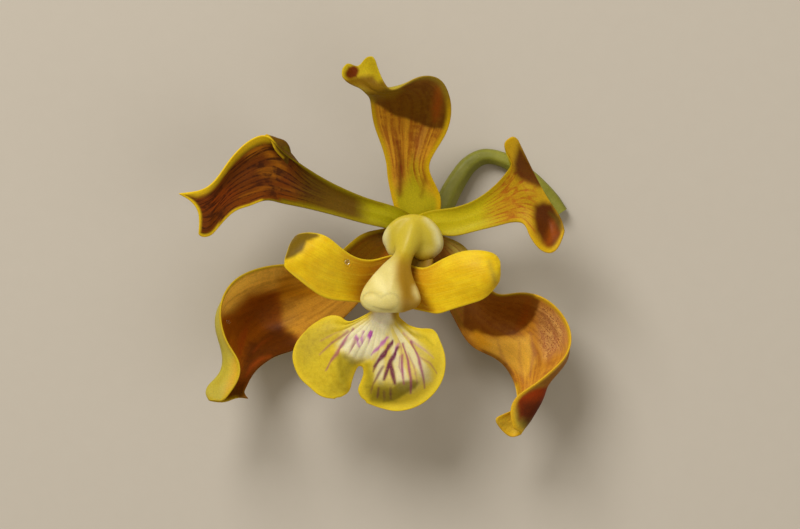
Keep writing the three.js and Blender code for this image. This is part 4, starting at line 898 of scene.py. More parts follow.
# Lip: two side lobes that spread from under the column, a claw, and a middle lobe with a notched rim.
lip = {
    "leftLobe": [
        [-2.6, -6.3, 7.0, -2.2, -5.4, 6.8, -1.8, -4.4, 6.6, -1.2, -3.4, 6.3, -0.6, -2.4, 6.0],
        [-4.1, -6.2, 7.4, -3.5, -5.2, 7.1, -2.9, -4.2, 6.9, -2.2, -3.2, 6.8, -1.6, -2.4, 6.6],
        [-5.0, -6.1, 7.9, -4.5, -5.2, 7.5, -3.9, -4.3, 7.3, -3.4, -3.5, 7.2, -3.0, -2.8, 7.3],
        [-6.1, -6.0, 8.5, -5.7, -5.0, 8.2, -5.2, -4.1, 8.1, -4.7, -3.3, 8.1, -4.3, -2.6, 8.2],
        [-7.1, -5.7, 9.0, -6.8, -4.7, 8.9, -6.4, -3.7, 8.9, -5.9, -2.7, 8.9, -5.4, -1.9, 8.9],
        [-8.1, -5.0, 9.5, -7.9, -4.1, 9.4, -7.6, -3.1, 9.5, -7.1, -2.0, 9.5, -6.6, -0.9, 9.2],
        [-9.1, -4.2, 9.6, -8.9, -3.4, 9.6, -8.6, -2.5, 9.7, -8.2, -1.5, 9.4, -7.8, -0.6, 8.8],
        [-9.8, -3.6, 9.4, -9.7, -2.9, 9.5, -9.5, -2.2, 9.4, -9.2, -1.4, 8.9, -8.8, -0.7, 8.2],
        [-10.0, -3.3, 9.2, -10.0, -2.8, 9.2, -9.8, -2.2, 9.1, -9.6, -1.6, 8.6, -9.2, -1.0, 7.9],
    ],
    "rightLobe": [
        [-0.4, -6.6, 7.0, -0.5, -5.7, 6.8, -0.6, -4.8, 6.6, -0.6, -3.9, 6.4, -0.5, -3.0, 6.1],
        [1.5, -7.0, 7.6, 0.9, -5.9, 7.2, 0.5, -4.9, 7.0, 0.3, -4.0, 6.9, 0.4, -3.3, 6.8],
        [2.3, -7.1, 8.0, 1.9, -6.1, 7.8, 1.6, -5.1, 7.7, 1.4, -4.2, 7.6, 1.3, -3.4, 7.5],
        [3.5, -6.7, 8.5, 3.2, -5.8, 8.4, 3.0, -4.8, 8.4, 2.8, -3.7, 8.3, 2.6, -2.7, 8.1],
        [4.8, -6.3, 8.9, 4.6, -5.4, 9.0, 4.5, -4.4, 9.1, 4.3, -3.2, 9.0, 4.1, -2.1, 8.6],
        [5.9, -5.9, 9.1, 5.9, -5.0, 9.4, 5.8, -4.0, 9.5, 5.7, -3.0, 9.3, 5.5, -2.0, 8.9],
        [6.7, -5.1, 8.9, 6.8, -4.4, 9.3, 6.8, -3.7, 9.4, 6.7, -2.9, 9.1, 6.5, -2.2, 8.7],
        [7.1, -4.5, 8.5, 7.2, -4.0, 8.8, 7.2, -3.4, 8.9, 7.2, -2.9, 8.7, 6.9, -2.5, 8.4],
    ],
    "claw": [
        [-0.6, -0.9, 5.1, 0.4, -1.0, 5.1, 1.4, -0.9, 5.1],
        [-1.2, -2.4, 5.9, 0.2, -2.5, 5.6, 1.5, -2.5, 5.9],
        [-2.2, -4.4, 6.7, -0.6, -4.5, 6.4, 0.8, -4.6, 6.7],
        [-2.9, -6.0, 7.2, -1.6, -6.2, 6.9, 0.1, -6.2, 7.2],
        [-2.8, -7.0, 7.8, -1.9, -7.1, 7.75, -1.1, -7.0, 7.8],
        [-2.7, -7.8, 7.95, -1.9, -8.0, 7.95, -1.2, -7.8, 7.9],
    ],
    "throat": [
        [-2.8, -5.9, 7.6], [-2.4, -6.0, 7.5], [-1.9, -6.0, 7.45], [-1.3, -6.0, 7.5], [-0.8, -5.9, 7.6]],
    "neck": [[-3.1, -6.9, 8.15], [-3.0, -7.5, 8.25], [-2.6, -8.0, 8.3], [-1.6, -8.1, 8.3], [-0.9, -7.3, 8.1]],
    "rim": [
        [-8.1, -8.2, 7.5], [-9.1, -9.4, 7.4], [-9.4, -10.7, 7.5], [-8.9, -12.1, 7.7], [-8.0, -13.0, 8.0],
        [-7.1, -13.7, 8.2], [-6.0, -13.9, 8.1], [-4.8, -13.9, 7.8], [-3.6, -14.2, 7.6], [-2.5, -14.6, 7.6],
        [-1.0, -14.9, 7.8], [0.6, -14.5, 7.9], [1.9, -13.5, 8.1], [2.7, -12.1, 8.3], [2.8, -10.4, 8.5],
        [2.1, -8.5, 8.4],
    ],
    # how far the left and the right upper margins bow upwards, from the neck out to the rim
    "bows": ([0, -0.2, -0.36, -0.3, 0.25, 0.5, 0.48, 0.28, 0],
             [0, -0.2, -0.35, -0.35, -0.3, -0.2, -0.05, 0.05, 0]),
    "bowWidth": 0.25,
    "corners": (0.1, 0.6),
    "hollowBehind": [  # the inside of the right lobe's base, seen above its margin
        [0.0, -3.5, 6.4, 0.1, -2.9, 6.2, 0.2, -2.2, 5.9],
        [0.6, -3.6, 6.5, 0.8, -3.0, 6.2, 0.9, -2.3, 5.9],
        [1.2, -3.6, 6.8, 1.4, -3.0, 6.5, 1.5, -2.4, 6.2],
        [1.7, -3.6, 7.0, 1.8, -3.2, 6.7, 1.9, -2.8, 6.4],
    ],
    # the hollow's colours are painted shadow, cast by the arch
    "hollowZones": [patch("umber", side="both"), patch("olive", strength=0.6, side="both")],
    "swell": 0.55,  # how far the lobe's middle stands in front of its rim
    "hollow": {"x": -4.3, "y": -11.7, "radius": 1.3, "depth": 0.5},
    # dents and swellings: place and width round the lobe, place and width outwards, height
    "waves": [(0.72, 0.14, 0.68, 0.14, 0.5), (0.72, 0.14, 0.9, 0.1, -0.25)],
    # fine pleats that spread from the neck: how many, how high, where outwards they are strongest, how wide
    "pleats": (15, 0.04, 0.3, 0.25),
    "neckRows": 12,  # the grid's rows that belong to the neck
    "notch": [
        [-6.6, -15.5], [-6.1, -14.0], [-5.4, -13.7], [-4.85, -13.25], [-4.6, -12.4], [-4.35, -11.7],
        [-4.1, -11.3], [-3.8, -11.4], [-3.75, -11.9], [-3.9, -12.4], [-4.1, -12.9], [-4.15, -13.3],
        [-3.9, -13.8], [-3.5, -14.2], [-3.3, -15.5],
    ],
    # rolled edges on the middle lobe: a line, its width and how far it stands out
    "folds": [
        ([(-5.85, -10.3), (-5.95, -11.2), (-5.7, -12.2), (-5.15, -12.9)], 0.3, 0.22),
        ([(-5.3, -10.2), (-4.75, -10.5), (-4.5, -10.9)], 0.22, 0.14),
        ([(-3.3, -11.1), (-3.15, -11.9), (-3.3, -12.7)], 0.28, 0.16),
    ],
    "thickness": (0.45, 0.16), "clawThickness": (0.5, 0.3), "hollowThickness": (0.3, 0.2),
    "lobeGrid": (110, 60, 30), "clawGrid": (50, 24, 6), "hollowGrid": (30, 20, 4), "softening": 12,
    "lobeFiner": (84, 52), "clawFiner": (50, 24), "middleFiner": (112, 310),
    # purple marks on the middle lobe: tone, strength, half widths at start, middle and end, points
    "marks": [
        ("plum", 0.9, (0.06, 0.1, 0.04), [
            (-4.55, -8.3), (-5.0, -9.0), (-5.5, -9.7), (-6.0, -10.6), (-6.65, -11.6)]),
        ("plum", 0.7, (0.05, 0.075, 0.03), [(-4.95, -8.5), (-6.2, -9.4), (-7.15, -10.35)]),
        ("plum", 0.35, (0.053, 0.077, 0.031), [(-5.6, -8.5), (-7.1, -9.3)]),
        ("plum", 0.7, (0.066, 0.097, 0.039), [(-4.35, -9.1), (-4.6, -9.7), (-4.9, -10.3)]),
        ("magenta", 0.85, (0.09, 0.132, 0.052), [(-4.3, -8.85), (-4.1, -9.7)]),
        ("magenta", 0.8, (0.078, 0.114, 0.045), [(-3.7, -8.55), (-3.85, -9.0), (-3.9, -9.6)]),
        ("magenta", 1.0, (0.16, 0.22, 0.12), [(-3.15, -8.6), (-3.25, -9.05)]),
        ("magenta", 0.5, (0.1, 0.141, 0.056), [(-3.2, -8.9), (-3.35, -9.6)]),
        ("magenta", 0.85, (0.102, 0.15, 0.059), [(-1.8, -9.0), (-2.3, -9.6), (-3.1, -10.35)]),
        ("maroon", 0.97, (0.13, 0.2, 0.1), [(-1.37, -9.3), (-2.1, -10.4), (-2.85, -11.3)]),
        ("maroon", 0.8, (0.1, 0.16, 0.06), [(-2.5, -10.7), (-2.75, -11.2), (-2.95, -11.7)]),
        ("maroon", 0.75, (0.081, 0.119, 0.047), [(-2.1, -11.3), (-2.5, -12.0), (-2.9, -12.7)]),
        ("maroon", 0.97, (0.1, 0.2, 0.1), [(-0.92, -9.8), (-1.5, -10.85), (-1.75, -11.5), (-2.0, -12.3)]),
        ("maroon", 0.97, (0.14, 0.19, 0.1), [(-1.55, -11.0), (-1.35, -11.9), (-1.17, -12.6)]),
        ("magenta", 0.75, (0.08, 0.12, 0.05), [(-0.92, -9.55), (-1.15, -10.1), (-1.3, -10.7)]),
        ("plum", 0.9, (0.08, 0.12, 0.05), [(-0.6, -10.4), (-0.6, -11.6), (-0.5, -12.6)]),
        ("plum", 0.9, (0.079, 0.117, 0.046), [(-0.5, -9.5), (-0.15, -10.8), (0.05, -12.2), (0.0, -13.3)]),
        ("plum", 0.85, (0.079, 0.117, 0.046), [(0.15, -9.3), (0.7, -10.6), (0.9, -11.7), (1.1, -12.9)]),
        ("plum", 0.6, (0.046, 0.068, 0.028), [(0.7, -10.5), (1.5, -11.0), (2.1, -11.8)]),
        ("magenta", 0.4, (0.042, 0.062, 0.025), [(-0.5, -8.6), (0.2, -9.3), (1.1, -9.9), (1.8, -10.6)]),
        ("plum", 0.7, (0.04, 0.07, 0.03), [(-0.75, -10.5), (-0.85, -11.3), (-0.7, -11.8)]),
        ("plum", 0.6, (0.035, 0.06, 0.025), [(-0.1, -10.2), (0.35, -11.3), (0.5, -12.5)]),
        ("plum", 0.5, (0.035, 0.05, 0.02), [(-0.9, -9.1), (-0.7, -9.9), (-0.65, -10.4)]),
        ("maroon", 0.65, (0.05, 0.08, 0.03), [(-2.9, -12.5), (-3.1, -13.4)]),
        ("maroon", 0.75, (0.05, 0.08, 0.03), [(-2.4, -12.9), (-2.6, -13.8)]),
        ("maroon", 0.65, (0.05, 0.08, 0.03), [(-2.0, -13.1), (-2.0, -13.9)]),
        ("maroon", 0.65, (0.05, 0.08, 0.03), [(-1.5, -12.9), (-1.5, -13.8)]),
    ],
    "midlobeZones": [
        patch("white", [(-2.9, -6.9), (-1.7, -7.0), (-1.5, -8.2), (-2.1, -9.6), (-3.0, -10.6),
            (-4.6, -10.75), (-5.4, -10.2), (-5.7, -9.5), (-5.1, -8.6), (-4.2, -8.0), (-3.2, -7.6)], 0.5),
        patch("white", [(-1.7, -7.9), (-0.5, -8.2), (0.5, -9.2), (1.3, -10.4), (1.5, -12.2), (0.4, -12.9),
            (-1.6, -12.9), (-2.9, -12.2), (-2.9, -10.8), (-2.2, -9.6)], 0.6, 0.8, rays=11),
        # cream on the claw, paler than its own colour as painted light where the column's shadow falls
        patch("cream", [(-3.0, -6.6), (-1.4, -6.6), (-1.4, -7.7), (-2.2, -8.1), (-3.0, -7.7)], 0.4, 0.9),
        patch("sunlit", [(1.3, -8.4), (3.2, -8.6), (3.4, -12), (2, -14), (0, -15), (-2.2, -15.2),
            (-1.6, -14.3), (0, -13.4), (1.2, -12.4), (1.6, -11)], 0.6, 0.85),
        # painted shadow of the column, to the right of the claw
        patch("tan", [(-1.2, -6.6), (-1.0, -7.3), (-0.6, -7.9)], 0.3, width=(0.4, 0.35, 0.1)),
        # painted shade along a fold by the neck
        patch("olive", [(-0.7, -7.8), (0.2, -8.6), (1.2, -9.0), (1.7, -9.6)], 0.15, 0.4, (0.05, 0.12, 0.03)),
        # painted shadow over the lower right half, and on towards the notch
        patch("olive", [(-0.9, -12.5), (0.2, -12.3), (0.65, -12.45), (0.35, -12.9), (-0.4, -13.35),
            (-1.2, -13.9), (-2.2, -14.25), (-2.4, -13.6)], 0.14, 0.85),
        patch("olive", [(-3.0, -12.9), (-2.2, -12.6), (-0.7, -12.9), (-1.2, -13.9), (-2.5, -14.3),
            (-3.0, -14.5), (-3.6, -14.2)], 0.45, 0.85),
        # green on the rolled edges by the notch: their colour with the folds' shade painted in
        patch("green", [(-5.9, -10.3), (-5.3, -10.15), (-4.7, -10.5), (-4.4, -10.8), (-4.2, -11.4),
            (-4.6, -12.4), (-4.9, -13.2), (-5.2, -12.9), (-5.7, -12.3), (-5.9, -11.4)], 0.14, 0.65),
        patch("green", [(-3.35, -11.1), (-3.25, -12.0), (-3.5, -12.9)], 0.25, 0.7, (0.15, 0.35, 0.15)),
        patch("shade", [(-4.6, -10.85), (-4.1, -10.95), (-3.6, -10.75)], 0.2, 0.6, (0.05, 0.15, 0.05)),
        patch("lemon", side="both"),
        patch("shade", [(-8.8, -9.6), (-8.2, -8.8), (-6.6, -8.0), (-5.4, -8.6), (-6.6, -9.4), (-8.2, -11.0)],
            0.8, 0.35),
        # painted shade, darker towards the left margin
        patch("olive", [(-8.2, -8.6), (-8.9, -9.8), (-9.1, -11.2)], 0.8, 0.26, (0.3, 0.6, 0.3)),
        # painted shade inside the notch's right margin
        patch("olive", [(-3.3, -11.9), (-3.05, -12.6), (-3.1, -13.4)], 0.35, 0.55, (0.05, 0.2, 0.2)),
        patch("rim", soft=0.3, strength=0.8, side="both", margin=0.3),
        patch("veins", strength=0.4),
    ],
    "sideLobeZones": [
        # orange tint towards the column, deepened in part as painted shade
        patch("orange", [(-5.0, -2.2), (-3.6, -2.4), (-1, -2), (1.4, -2), (1.8, -2.7), (1.9, -3.6),
            (1.3, -6.2), (2.0, -7.6), (-3.8, -7.4), (-4.8, -5.6)], 1.2, side="both"),
        # painted shade along both sides of the column, between it and the lobes
        patch("umber", [(-1.6, -2.6), (-3.0, -3.6), (-3.9, -4.9), (-4.1, -6.2)], 0.5, 0.85, (0.5, 0.3, 0.2)),
        patch("umber", [(0.3, -2.8), (0.2, -4.2), (0.9, -5.7), (1.5, -7.0)], 0.45, 0.85, (0.5, 0.3, 0.3)),
        # painted shadow on the left lobe's upper corner
        patch("corner", [(-7.0, -0.4), (-7.3, -1.0), (-8.2, -1.4), (-8.5, -2.1), (-9.2, -2.55),
            (-10.3, -2.9), (-10.3, -1.4), (-9.4, -0.5), (-8.4, -0.3)], 0.16),
        patch("shade", [(6.3, -3.0), (6.6, -4.0), (6.8, -4.9)], 0.25, 0.5, (0.1, 0.2, 0.1)),
        patch("shade", [(-9.5, -3.7), (-8.7, -4.3), (-7.6, -5.3)], 0.18, 0.5, (0.02, 0.08, 0.02)),
        patch("rim", soft=0.1, strength=0.8, side="both", margin=0.14),
        # painted satin sheen: pale streaks over the side lobes
        patch("silk"),
        patch("veins"),
    ],
    # among these, the tan, the corner and most of the olive are painted shade, and the green is partly
    "over": {
        "white": "#d8cea0", "cream": "#fff8de", "tan": "#ac8838", "olive": "#82700c", "corner": "#6e5400",
        "green": "#a8941a", "shade": "#8a7430", "rim": "#d8b81a", "magenta": "#a84a98", "plum": "#902c60",
        "maroon": "#600838",
    },
    "ragged": ("magenta", "plum", "maroon"),  # the marks, broken up by the grain
}


def midlobeSurface(rows, columns):
    # rays run from the throat over the neck to the rim, and fan out round the lobe
    turn = marginSteps(columns)
    throat, neck, rim = (curvePoints(lip[name], turn) for name in ("throat", "neck", "rim"))
    grid = np.zeros((rows, columns, 3))
    early = lip["neckRows"]
    pleats, pleatHeight, pleatAt, pleatReach = lip["pleats"]
    for i in range(rows):
        if i < early:
            grid[i] = throat + (neck - throat) * i / early
            continue
        out = (i - early) / (rows - 1 - early)
        rise = math.sin(math.pi * out)
        point = neck + (rim - neck) * out
        for bow, away in zip(lip["bows"], (turn, 1 - turn)):
            lift = curvePoints([[value] for value in bow], np.array([out]))[0, 0]
            point[:, 1] += lift * np.maximum(0, 1 - away / lip["bowWidth"]) ** 2
        hollow = lip["hollow"]
        sunk = bump(np.hypot(point[:, 0] - hollow["x"], point[:, 1] - hollow["y"]), hollow["radius"])
        point[:, 2] += lip["swell"] * rise ** 2 - hollow["depth"] * sunk
        for place, width, reach, depth, height in lip["waves"]:
            point[:, 2] += height * bump(turn - place, width) * bump(out - reach, depth)
        point[:, 2] += pleatHeight * np.sin(turn * 2 * math.pi * pleats) * bump(out - pleatAt, pleatReach)
        grid[i] = point
    grid = softened(grid, lip["softening"])
    for line, width, height in lip["folds"]:
        away, share = alongLine(grid[..., 0], grid[..., 1], line)
        grid[..., 2] += height * bump(away, width)
    return grid


def lipSkin():
    # Velvety lip tissue: yellow pigment in its cells, white where there is none, and purple veins below;
    # painted shade and a painted satin sheen lie over them.
    material, tree = blankMaterial("Lip skin, velvety yellow and white with purple marks")
    place = millimetres(tree)
    surface = addNode(tree, "ShaderNodeTexCoord", out="UV")
    patches = addNode(tree, "ShaderNodeTexNoise", {"Vector": place, "Scale": 0.9, "Detail": 4})
    edges = addNode(tree, "ShaderNodeTexNoise", {"Vector": place, "Scale": 3.0, "Detail": 4})
    grain = addNode(tree, "ShaderNodeTexNoise", {"Vector": place, "Scale": 8.0, "Detail": 3})
    drawn = addNode(tree, "ShaderNodeMapping", {"Vector": surface, "Scale": (14, 1.4, 1)})
    silk = addNode(tree, "ShaderNodeTexNoise", {"Vector": drawn, "Scale": 1.0, "Detail": 3})
    veined, back, sheenStreaksMask = (
        addNode(tree, "ShaderNodeAttribute", out="Fac", attribute_name=field)
        for field in ("veins", "back", "silk")
    )
    lines = veinMask(tree, surface, 17, 1.2, 0.16, 0.4)
    lines = addNode(tree, "ShaderNodeMath", {0: lines, 1: veined}, operation="MULTIPLY")
    ragged = addNode(tree, "ShaderNodeMapRange", {0: grain, 1: 0.3, 2: 0.5, 3: 0.82})
    lemon = brokenMask(tree, "lemon", edges, 1.6)
    layers = [
        ("#e0bc12", addNode(tree, "ShaderNodeMapRange", {0: patches, 1: 0.4, 2: 0.62})),
        ("#cdb326", lemon),
        ("#bfa31c", addNode(tree, "ShaderNodeMapRange", {0: edges, 1: 0.48, 2: 0.66, 4: 0.7}), lemon),
        ("#e6ca34", brokenMask(tree, "sunlit", edges, 1.6)),
        ("#bda418", back, 0.6),
        # orange is partly painted shade near the column, umber painted shade beside it and in the hollow
        ("#c48a04", brokenMask(tree, "orange", edges, 1.6)),
        ("#8e5002", brokenMask(tree, "umber", edges, 1.6)),
        ("#b48a04", lines, 0.16),
        # painted satin sheen
        ("#e4c832", addNode(tree, "ShaderNodeMapRange", {0: silk, 1: 0.5, 2: 0.7, 4: 0.25}), sheenStreaksMask),
    ]
    for name, tone in lip["over"].items():
        mask = brokenMask(tree, name, edges, 1.6)
        layers.append((tone, mask, ragged) if name in lip["ragged"] else (tone, mask))
    colour = mottled(tree, paintedOver(tree, "#d6ac08", layers), grain, 0.93, 1.05)
    relief = addNode(tree, "ShaderNodeMath", {0: lines, 1: -0.4, 2: grain}, operation="MULTIPLY_ADD")
    gleam = addNode(tree, "ShaderNodeMapRange", {0: patches, 1: 0.3, 2: 0.7, 3: 0.44, 4: 0.6})
    finishedSkin(tree, colour, relief, (0.35, 0.00004), gleam, {
        "IOR": 1.4, "Specular IOR Level": 0.2, "Sheen Weight": 0.015, "Sheen Roughness": 0.5,
        "Subsurface Weight": 0.2, "Subsurface Radius": (1.0, 0.75, 0.2), "Subsurface Scale": 0.0005,
    })
    return material


def makeLip():
    marks = [patch(tone, line, 0.1, strength, width) for tone, strength, width, line in lip["marks"]]
    sideZones, middleZones = lip["sideLobeZones"], lip["midlobeZones"]
    lobes = [netSurface({"net": lip[name]}, *lip["lobeGrid"]) for name in ("leftLobe", "rightLobe")]
    lobes = [refined(lobe, *lip["lobeFiner"]) for lobe in lobes]
    claw = refined(netSurface({"net": lip["claw"]}, *lip["clawGrid"]), *lip["clawFiner"])
    hollow = netSurface({"net": lip["hollowBehind"]}, *lip["hollowGrid"])
    notch = curvePoints(lip["notch"], np.linspace(0, 1, 260))[:, :2]
    middle = refined(midlobeSurface(*lip["middleFiner"]), *lip["middleFiner"], lip["corners"])
    shells = [bladeShell(lobe, lip["thickness"], sideZones) for lobe in lobes] + [
        bladeShell(claw, lip["clawThickness"], sideZones + middleZones[:5]),  # it turns pale towards the neck
        bladeShell(hollow, lip["hollowThickness"], lip["hollowZones"]),
        bladeShell(middle, lip["thickness"], middleZones + marks, cut=notch),
    ]
    kept(builtMesh("Lip", shells, lipSkin()), "lip", "lip_yellow")
    print("lip made")


# Column, with its pale arch, and the anther cap in its tip.
column = {
    # from the base to the hooded end: place, half width to the left and the right, height above, depth below
    "sections": [
        ([0.3, 0.5, 6.3], 0.7, 0.7, 0.6, 0.4), ([0.2, -0.3, 6.6], 1.1, 1.1, 0.9, 0.6),
        ([0.0, -1.3, 6.9], 1.2, 1.1, 0.9, 0.7), ([-0.4, -2.3, 7.4], 0.9, 0.8, 0.8, 0.7),
        ([-0.9, -3.3, 8.0], 1.4, 1.0, 0.9, 0.8), ([-1.2, -4.3, 8.6], 2.0, 1.5, 1.1, 0.9),
        ([-1.4, -5.2, 9.0], 2.4, 2.1, 1.2, 0.9), ([-1.5, -6.0, 9.3], 2.5, 2.4, 1.1, 0.8),
        ([-1.6, -6.6, 9.4], 2.1, 2.1, 0.8, 0.6), ([-1.6, -7.0, 9.4], 1.2, 1.1, 0.4, 0.3),
    ],
    "keel": 0.45,  # how far the upper side is a keel and not round
    # tan and deep are painted shade; light is partly painted highlight and partly the pale lower lip
    "tones": {"tan": "#a0760a", "deep": "#8a6404", "light": "#e2d48c", "green": "#bca61e", "pale": "#d6ce9c",
              "seam": "#8e7228"},
    "base": ([0.3, -0.8, 6.4], [2.2, 1.6, 0.7]),
    "shoulders": [([-1.05, -1.75, 6.3], [0.95, 0.95, 0.55]), ([1.2, -1.85, 6.3], [1.2, 1.05, 0.55])],
    "arch": [
        [-1.5, -2.0, 6.0], [-1.8, -1.2, 6.2], [-1.3, -0.2, 6.4], [-0.5, 0.4, 6.5], [0.5, 0.5, 6.5],
        [1.4, 0.1, 6.5], [2.0, -0.8, 6.4], [2.2, -1.7, 6.3], [2.0, -2.4, 6.0],
    ],
    "archRadii": [0.2, 0.5, 0.5, 0.42, 0.42, 0.5, 0.6, 0.55, 0.2],
    "foot": ([0.3, -0.3, 3.9], 0.7, 2.6),
    "cap": ([-2.4, -6.15, 9.88], [1.5, 0.86, 0.62]),
    # the anther cap's edge: under the hood's lower edge with its small tooth, and over the pale lower lip
    "capEdge": [
        (-3.78, -5.85), (-3.5, -6.2), (-2.95, -6.5), (-2.3, -6.68), (-1.6, -6.76), (-1.15, -6.58),
        (-0.92, -6.2), (-0.9, -5.85), (-1.25, -5.5), (-1.85, -5.5), (-2.3, -5.8), (-2.75, -5.45),
        (-3.35, -5.4), (-3.7, -5.65)],
    "capDepth": (9.3, 11.2),
    "capSeam": 0.004,
    "basePasses": 90,  # how far the base's parts are smoothed into one another
    "baseFrom": (-3.0, -1.8),  # the Y from which that sets in, and where it is full
    "hoodAbove": 9.6,  # the groove is pressed in above this height
    "paintAbove": (5.5, 6.0),
    "stalkBelow": (5.8, 5.0),  # below the base the stalk is green all round
    "voxel": 0.075,
    # the hooded end's lower edge, with its small tooth: a groove between the hood and the cap
    "groove": [(-3.75, -5.75), (-3.35, -5.4), (-2.75, -5.45), (-2.3, -5.8), (-1.85, -5.5), (-1.25, -5.5),
               (-0.9, -5.85)],
    "grooveDepth": 0.02,
    "grooveWidth": 0.18,
    "skinPasses": 22,
    "crispAngle": 50,  # degrees from which an edge, such as the cap's, stays crisp
    "zones": [
        # painted shade on the column's right side
        patch("tan", [(-1.0, -2.0), (-1.15, -3.2), (-1.15, -4.4), (-0.85, -5.4), (-0.8, -7.2), (2.4, -7.2),
            (2.4, -2.4), (0.6, -2.0)], 0.5, 0.94),
        # a darker band of painted shade right of the keel
        patch("deep", [(-0.4, -3.0), (-0.4, -3.9), (-0.25, -5.0), (-0.2, -6.3)], 0.5, 0.8,
            (0.05, 0.3, 0.25)),
        # painted highlights on the left bulge and on the right facet
        patch("light", [(-2.9, -3.9), (-2.5, -4.6), (-2.1, -5.2)], 0.4, 0.9, (0.2, 0.45, 0.2)),
        patch("light", [(0.4, -5.0), (0.6, -5.8)], 0.4, 0.7, (0.1, 0.2, 0.1)),
        patch("green", [(-2.6, 2.0), (3.4, 2.0), (3.0, -1.6), (1.2, -2.5), (-0.4, -2.6), (-2.6, -2.2)], 1.0,
            0.9),
        patch("pale", [(-1.9, -0.2), (-2.05, -1.2), (-1.95, -2.1)], 0.4, 0.8, (0.1, 0.3, 0.1)),
        patch("pale", [(1.3, 0.5), (2.1, -0.4), (2.4, -1.6), (2.3, -2.6)], 0.4, 0.75, (0.1, 0.3, 0.2)),
        patch("seam", [(-3.75, -5.75), (-3.35, -5.4), (-2.75, -5.45), (-2.3, -5.8), (-1.85, -5.5),
            (-1.25, -5.5), (-0.9, -5.85)], 0.14, 0.2, (0.02, 0.05, 0.02)),
        patch("seam", [(-2.95, -6.5), (-2.3, -6.68), (-1.5, -6.78)], 0.1, 0.4, (0.02, 0.05, 0.02)),
        patch("light", [(-3.5, -6.5), (-2.9, -6.78), (-2.2, -6.95), (-1.3, -7.0)], 0.12, 0.9,
            (0.05, 0.1, 0.05)),
    ],
}


def loftShell(rings):
    # a closed body through rings of points
    rings = np.asarray(rings)
    count, sides = rings.shape[:2]
    index = np.arange(count * sides).reshape(count, sides)
    ahead = np.roll(index, -1, axis=1)
    faces = np.stack([index[:-1], ahead[:-1], ahead[1:], index[1:]], -1).reshape(-1, 4).tolist()
    return rings.reshape(-1, 3), faces + [index[0, ::-1].tolist(), index[-1].tolist()]


def columnRings(steps, sides):
    path = np.array([section[0] for section in column["sections"]])
    sizes = np.array([section[1:] for section in column["sections"]])
    t = np.linspace(0, 1, steps)
    centres = curvePoints(path, t)
    widths = curvePoints(sizes, t)
    ahead = np.gradient(centres, axis=0)
    angle = 2 * math.pi * np.arange(sides) / sides
    rings = []
    for centre, (left, right, top, bottom), along in zip(centres, widths, ahead):
        across = np.array([1.0, 0, 0])
        up = np.cross(along, across)
        up /= np.linalg.norm(up)
        up = up * (1 if up[2] > 0 else -1)
        crest = np.abs(np.sin(angle)) * (1 - column["keel"]) + (1 - np.abs(np.cos(angle))) * column["keel"]
        rise = np.where(np.sin(angle) > 0, top * crest, -bottom * np.abs(np.sin(angle)))
        width = np.where(np.cos(angle) < 0, left, right) * np.cos(angle)
        rings.append(centre + width[:, None] * across + rise[:, None] * up)
    return rings


def ellipsoidRings(at, radii, steps, sides):
    # from just above the lower pole to just below the upper one
    rings = []
    for tilt in np.linspace(0.02, math.pi - 0.02, steps):
        angle = 2 * math.pi * np.arange(sides) / sides
        ring = np.stack([np.cos(angle) * math.sin(tilt), np.sin(angle) * math.sin(tilt),
                         np.full(sides, -math.cos(tilt))], -1)
        rings.append(ring * np.asarray(radii) + at)
    return rings


def capRings(extra):
    # an upright plug with the cap's outline, wider by extra, which cuts the cap out of the hooded end
    edge = curvePoints(column["capEdge"] + column["capEdge"][:1], np.linspace(0, 1, 140))[:-1]
    edge = edge + (edge - edge.mean(axis=0)) * extra
    return [np.column_stack([edge, np.full(len(edge), height)]) for height in column["capDepth"]]


def tubeRings(path, radii, steps, sides):
    centres = curvePoints(path, np.linspace(0, 1, steps))
    girth = curvePoints(np.asarray(radii)[:, None], np.linspace(0, 1, steps))[:, 0]
    ahead = np.gradient(centres, axis=0)
    across = np.array([1.0, 0, 0])
    angle = 2 * math.pi * np.arange(sides) / sides
    rings = []
    for centre, radius, along in zip(centres, girth, ahead):
        along = along / np.linalg.norm(along)
        across = across - along * across.dot(along)
        across /= np.linalg.norm(across)
        up = np.cross(along, across)
        rings.append(centre + radius * (np.cos(angle)[:, None] * across + np.sin(angle)[:, None] * up))
    return rings


def columnSkin(name, cream, cloud):
    # Firm waxy tissue, thicker than a petal's: a soft pale gleam, clouded cream colour and fine pores. Its
    # tones add painted shade and painted highlights.
    material, tree = blankMaterial(name)
    place = millimetres(tree)
    clouds = addNode(tree, "ShaderNodeTexNoise", {"Vector": place, "Scale": 0.8, "Detail": 4})
    pores = addNode(tree, "ShaderNodeTexNoise", {"Vector": place, "Scale": 9.0, "Detail": 3})
    layers = [(cloud, addNode(tree, "ShaderNodeMapRange", {0: clouds, 1: 0.4, 2: 0.65, 4: 0.6}))]
    for field, tone in column["tones"].items():
        layers.append((tone, brokenMask(tree, field, clouds, 1.2)))
    colour = mottled(tree, paintedOver(tree, cream, layers), pores, 0.94, 1.04)
    gleam = addNode(tree, "ShaderNodeMapRange", {0: clouds, 1: 0.3, 2: 0.7, 3: 0.36, 4: 0.5})
    finishedSkin(tree, colour, pores, (0.35, 0.00003), gleam, {
        "IOR": 1.42, "Specular IOR Level": 0.25,
        "Subsurface Weight": 0.25, "Subsurface Radius": (1.0, 0.8, 0.4), "Subsurface Scale": 0.0006,
    })
    return material


def rawObject(name, shells):
    # shells in millimetres, before they are fused
    vertices, faces = [], []
    for points, loops in shells:
        faces += [[k + len(vertices) for k in loop] for loop in loops]
        vertices += np.asarray(points).tolist()
    mesh = bpy.data.meshes.new(name)
    mesh.from_pydata(vertices, [], faces)
    return newPiece(name, mesh)


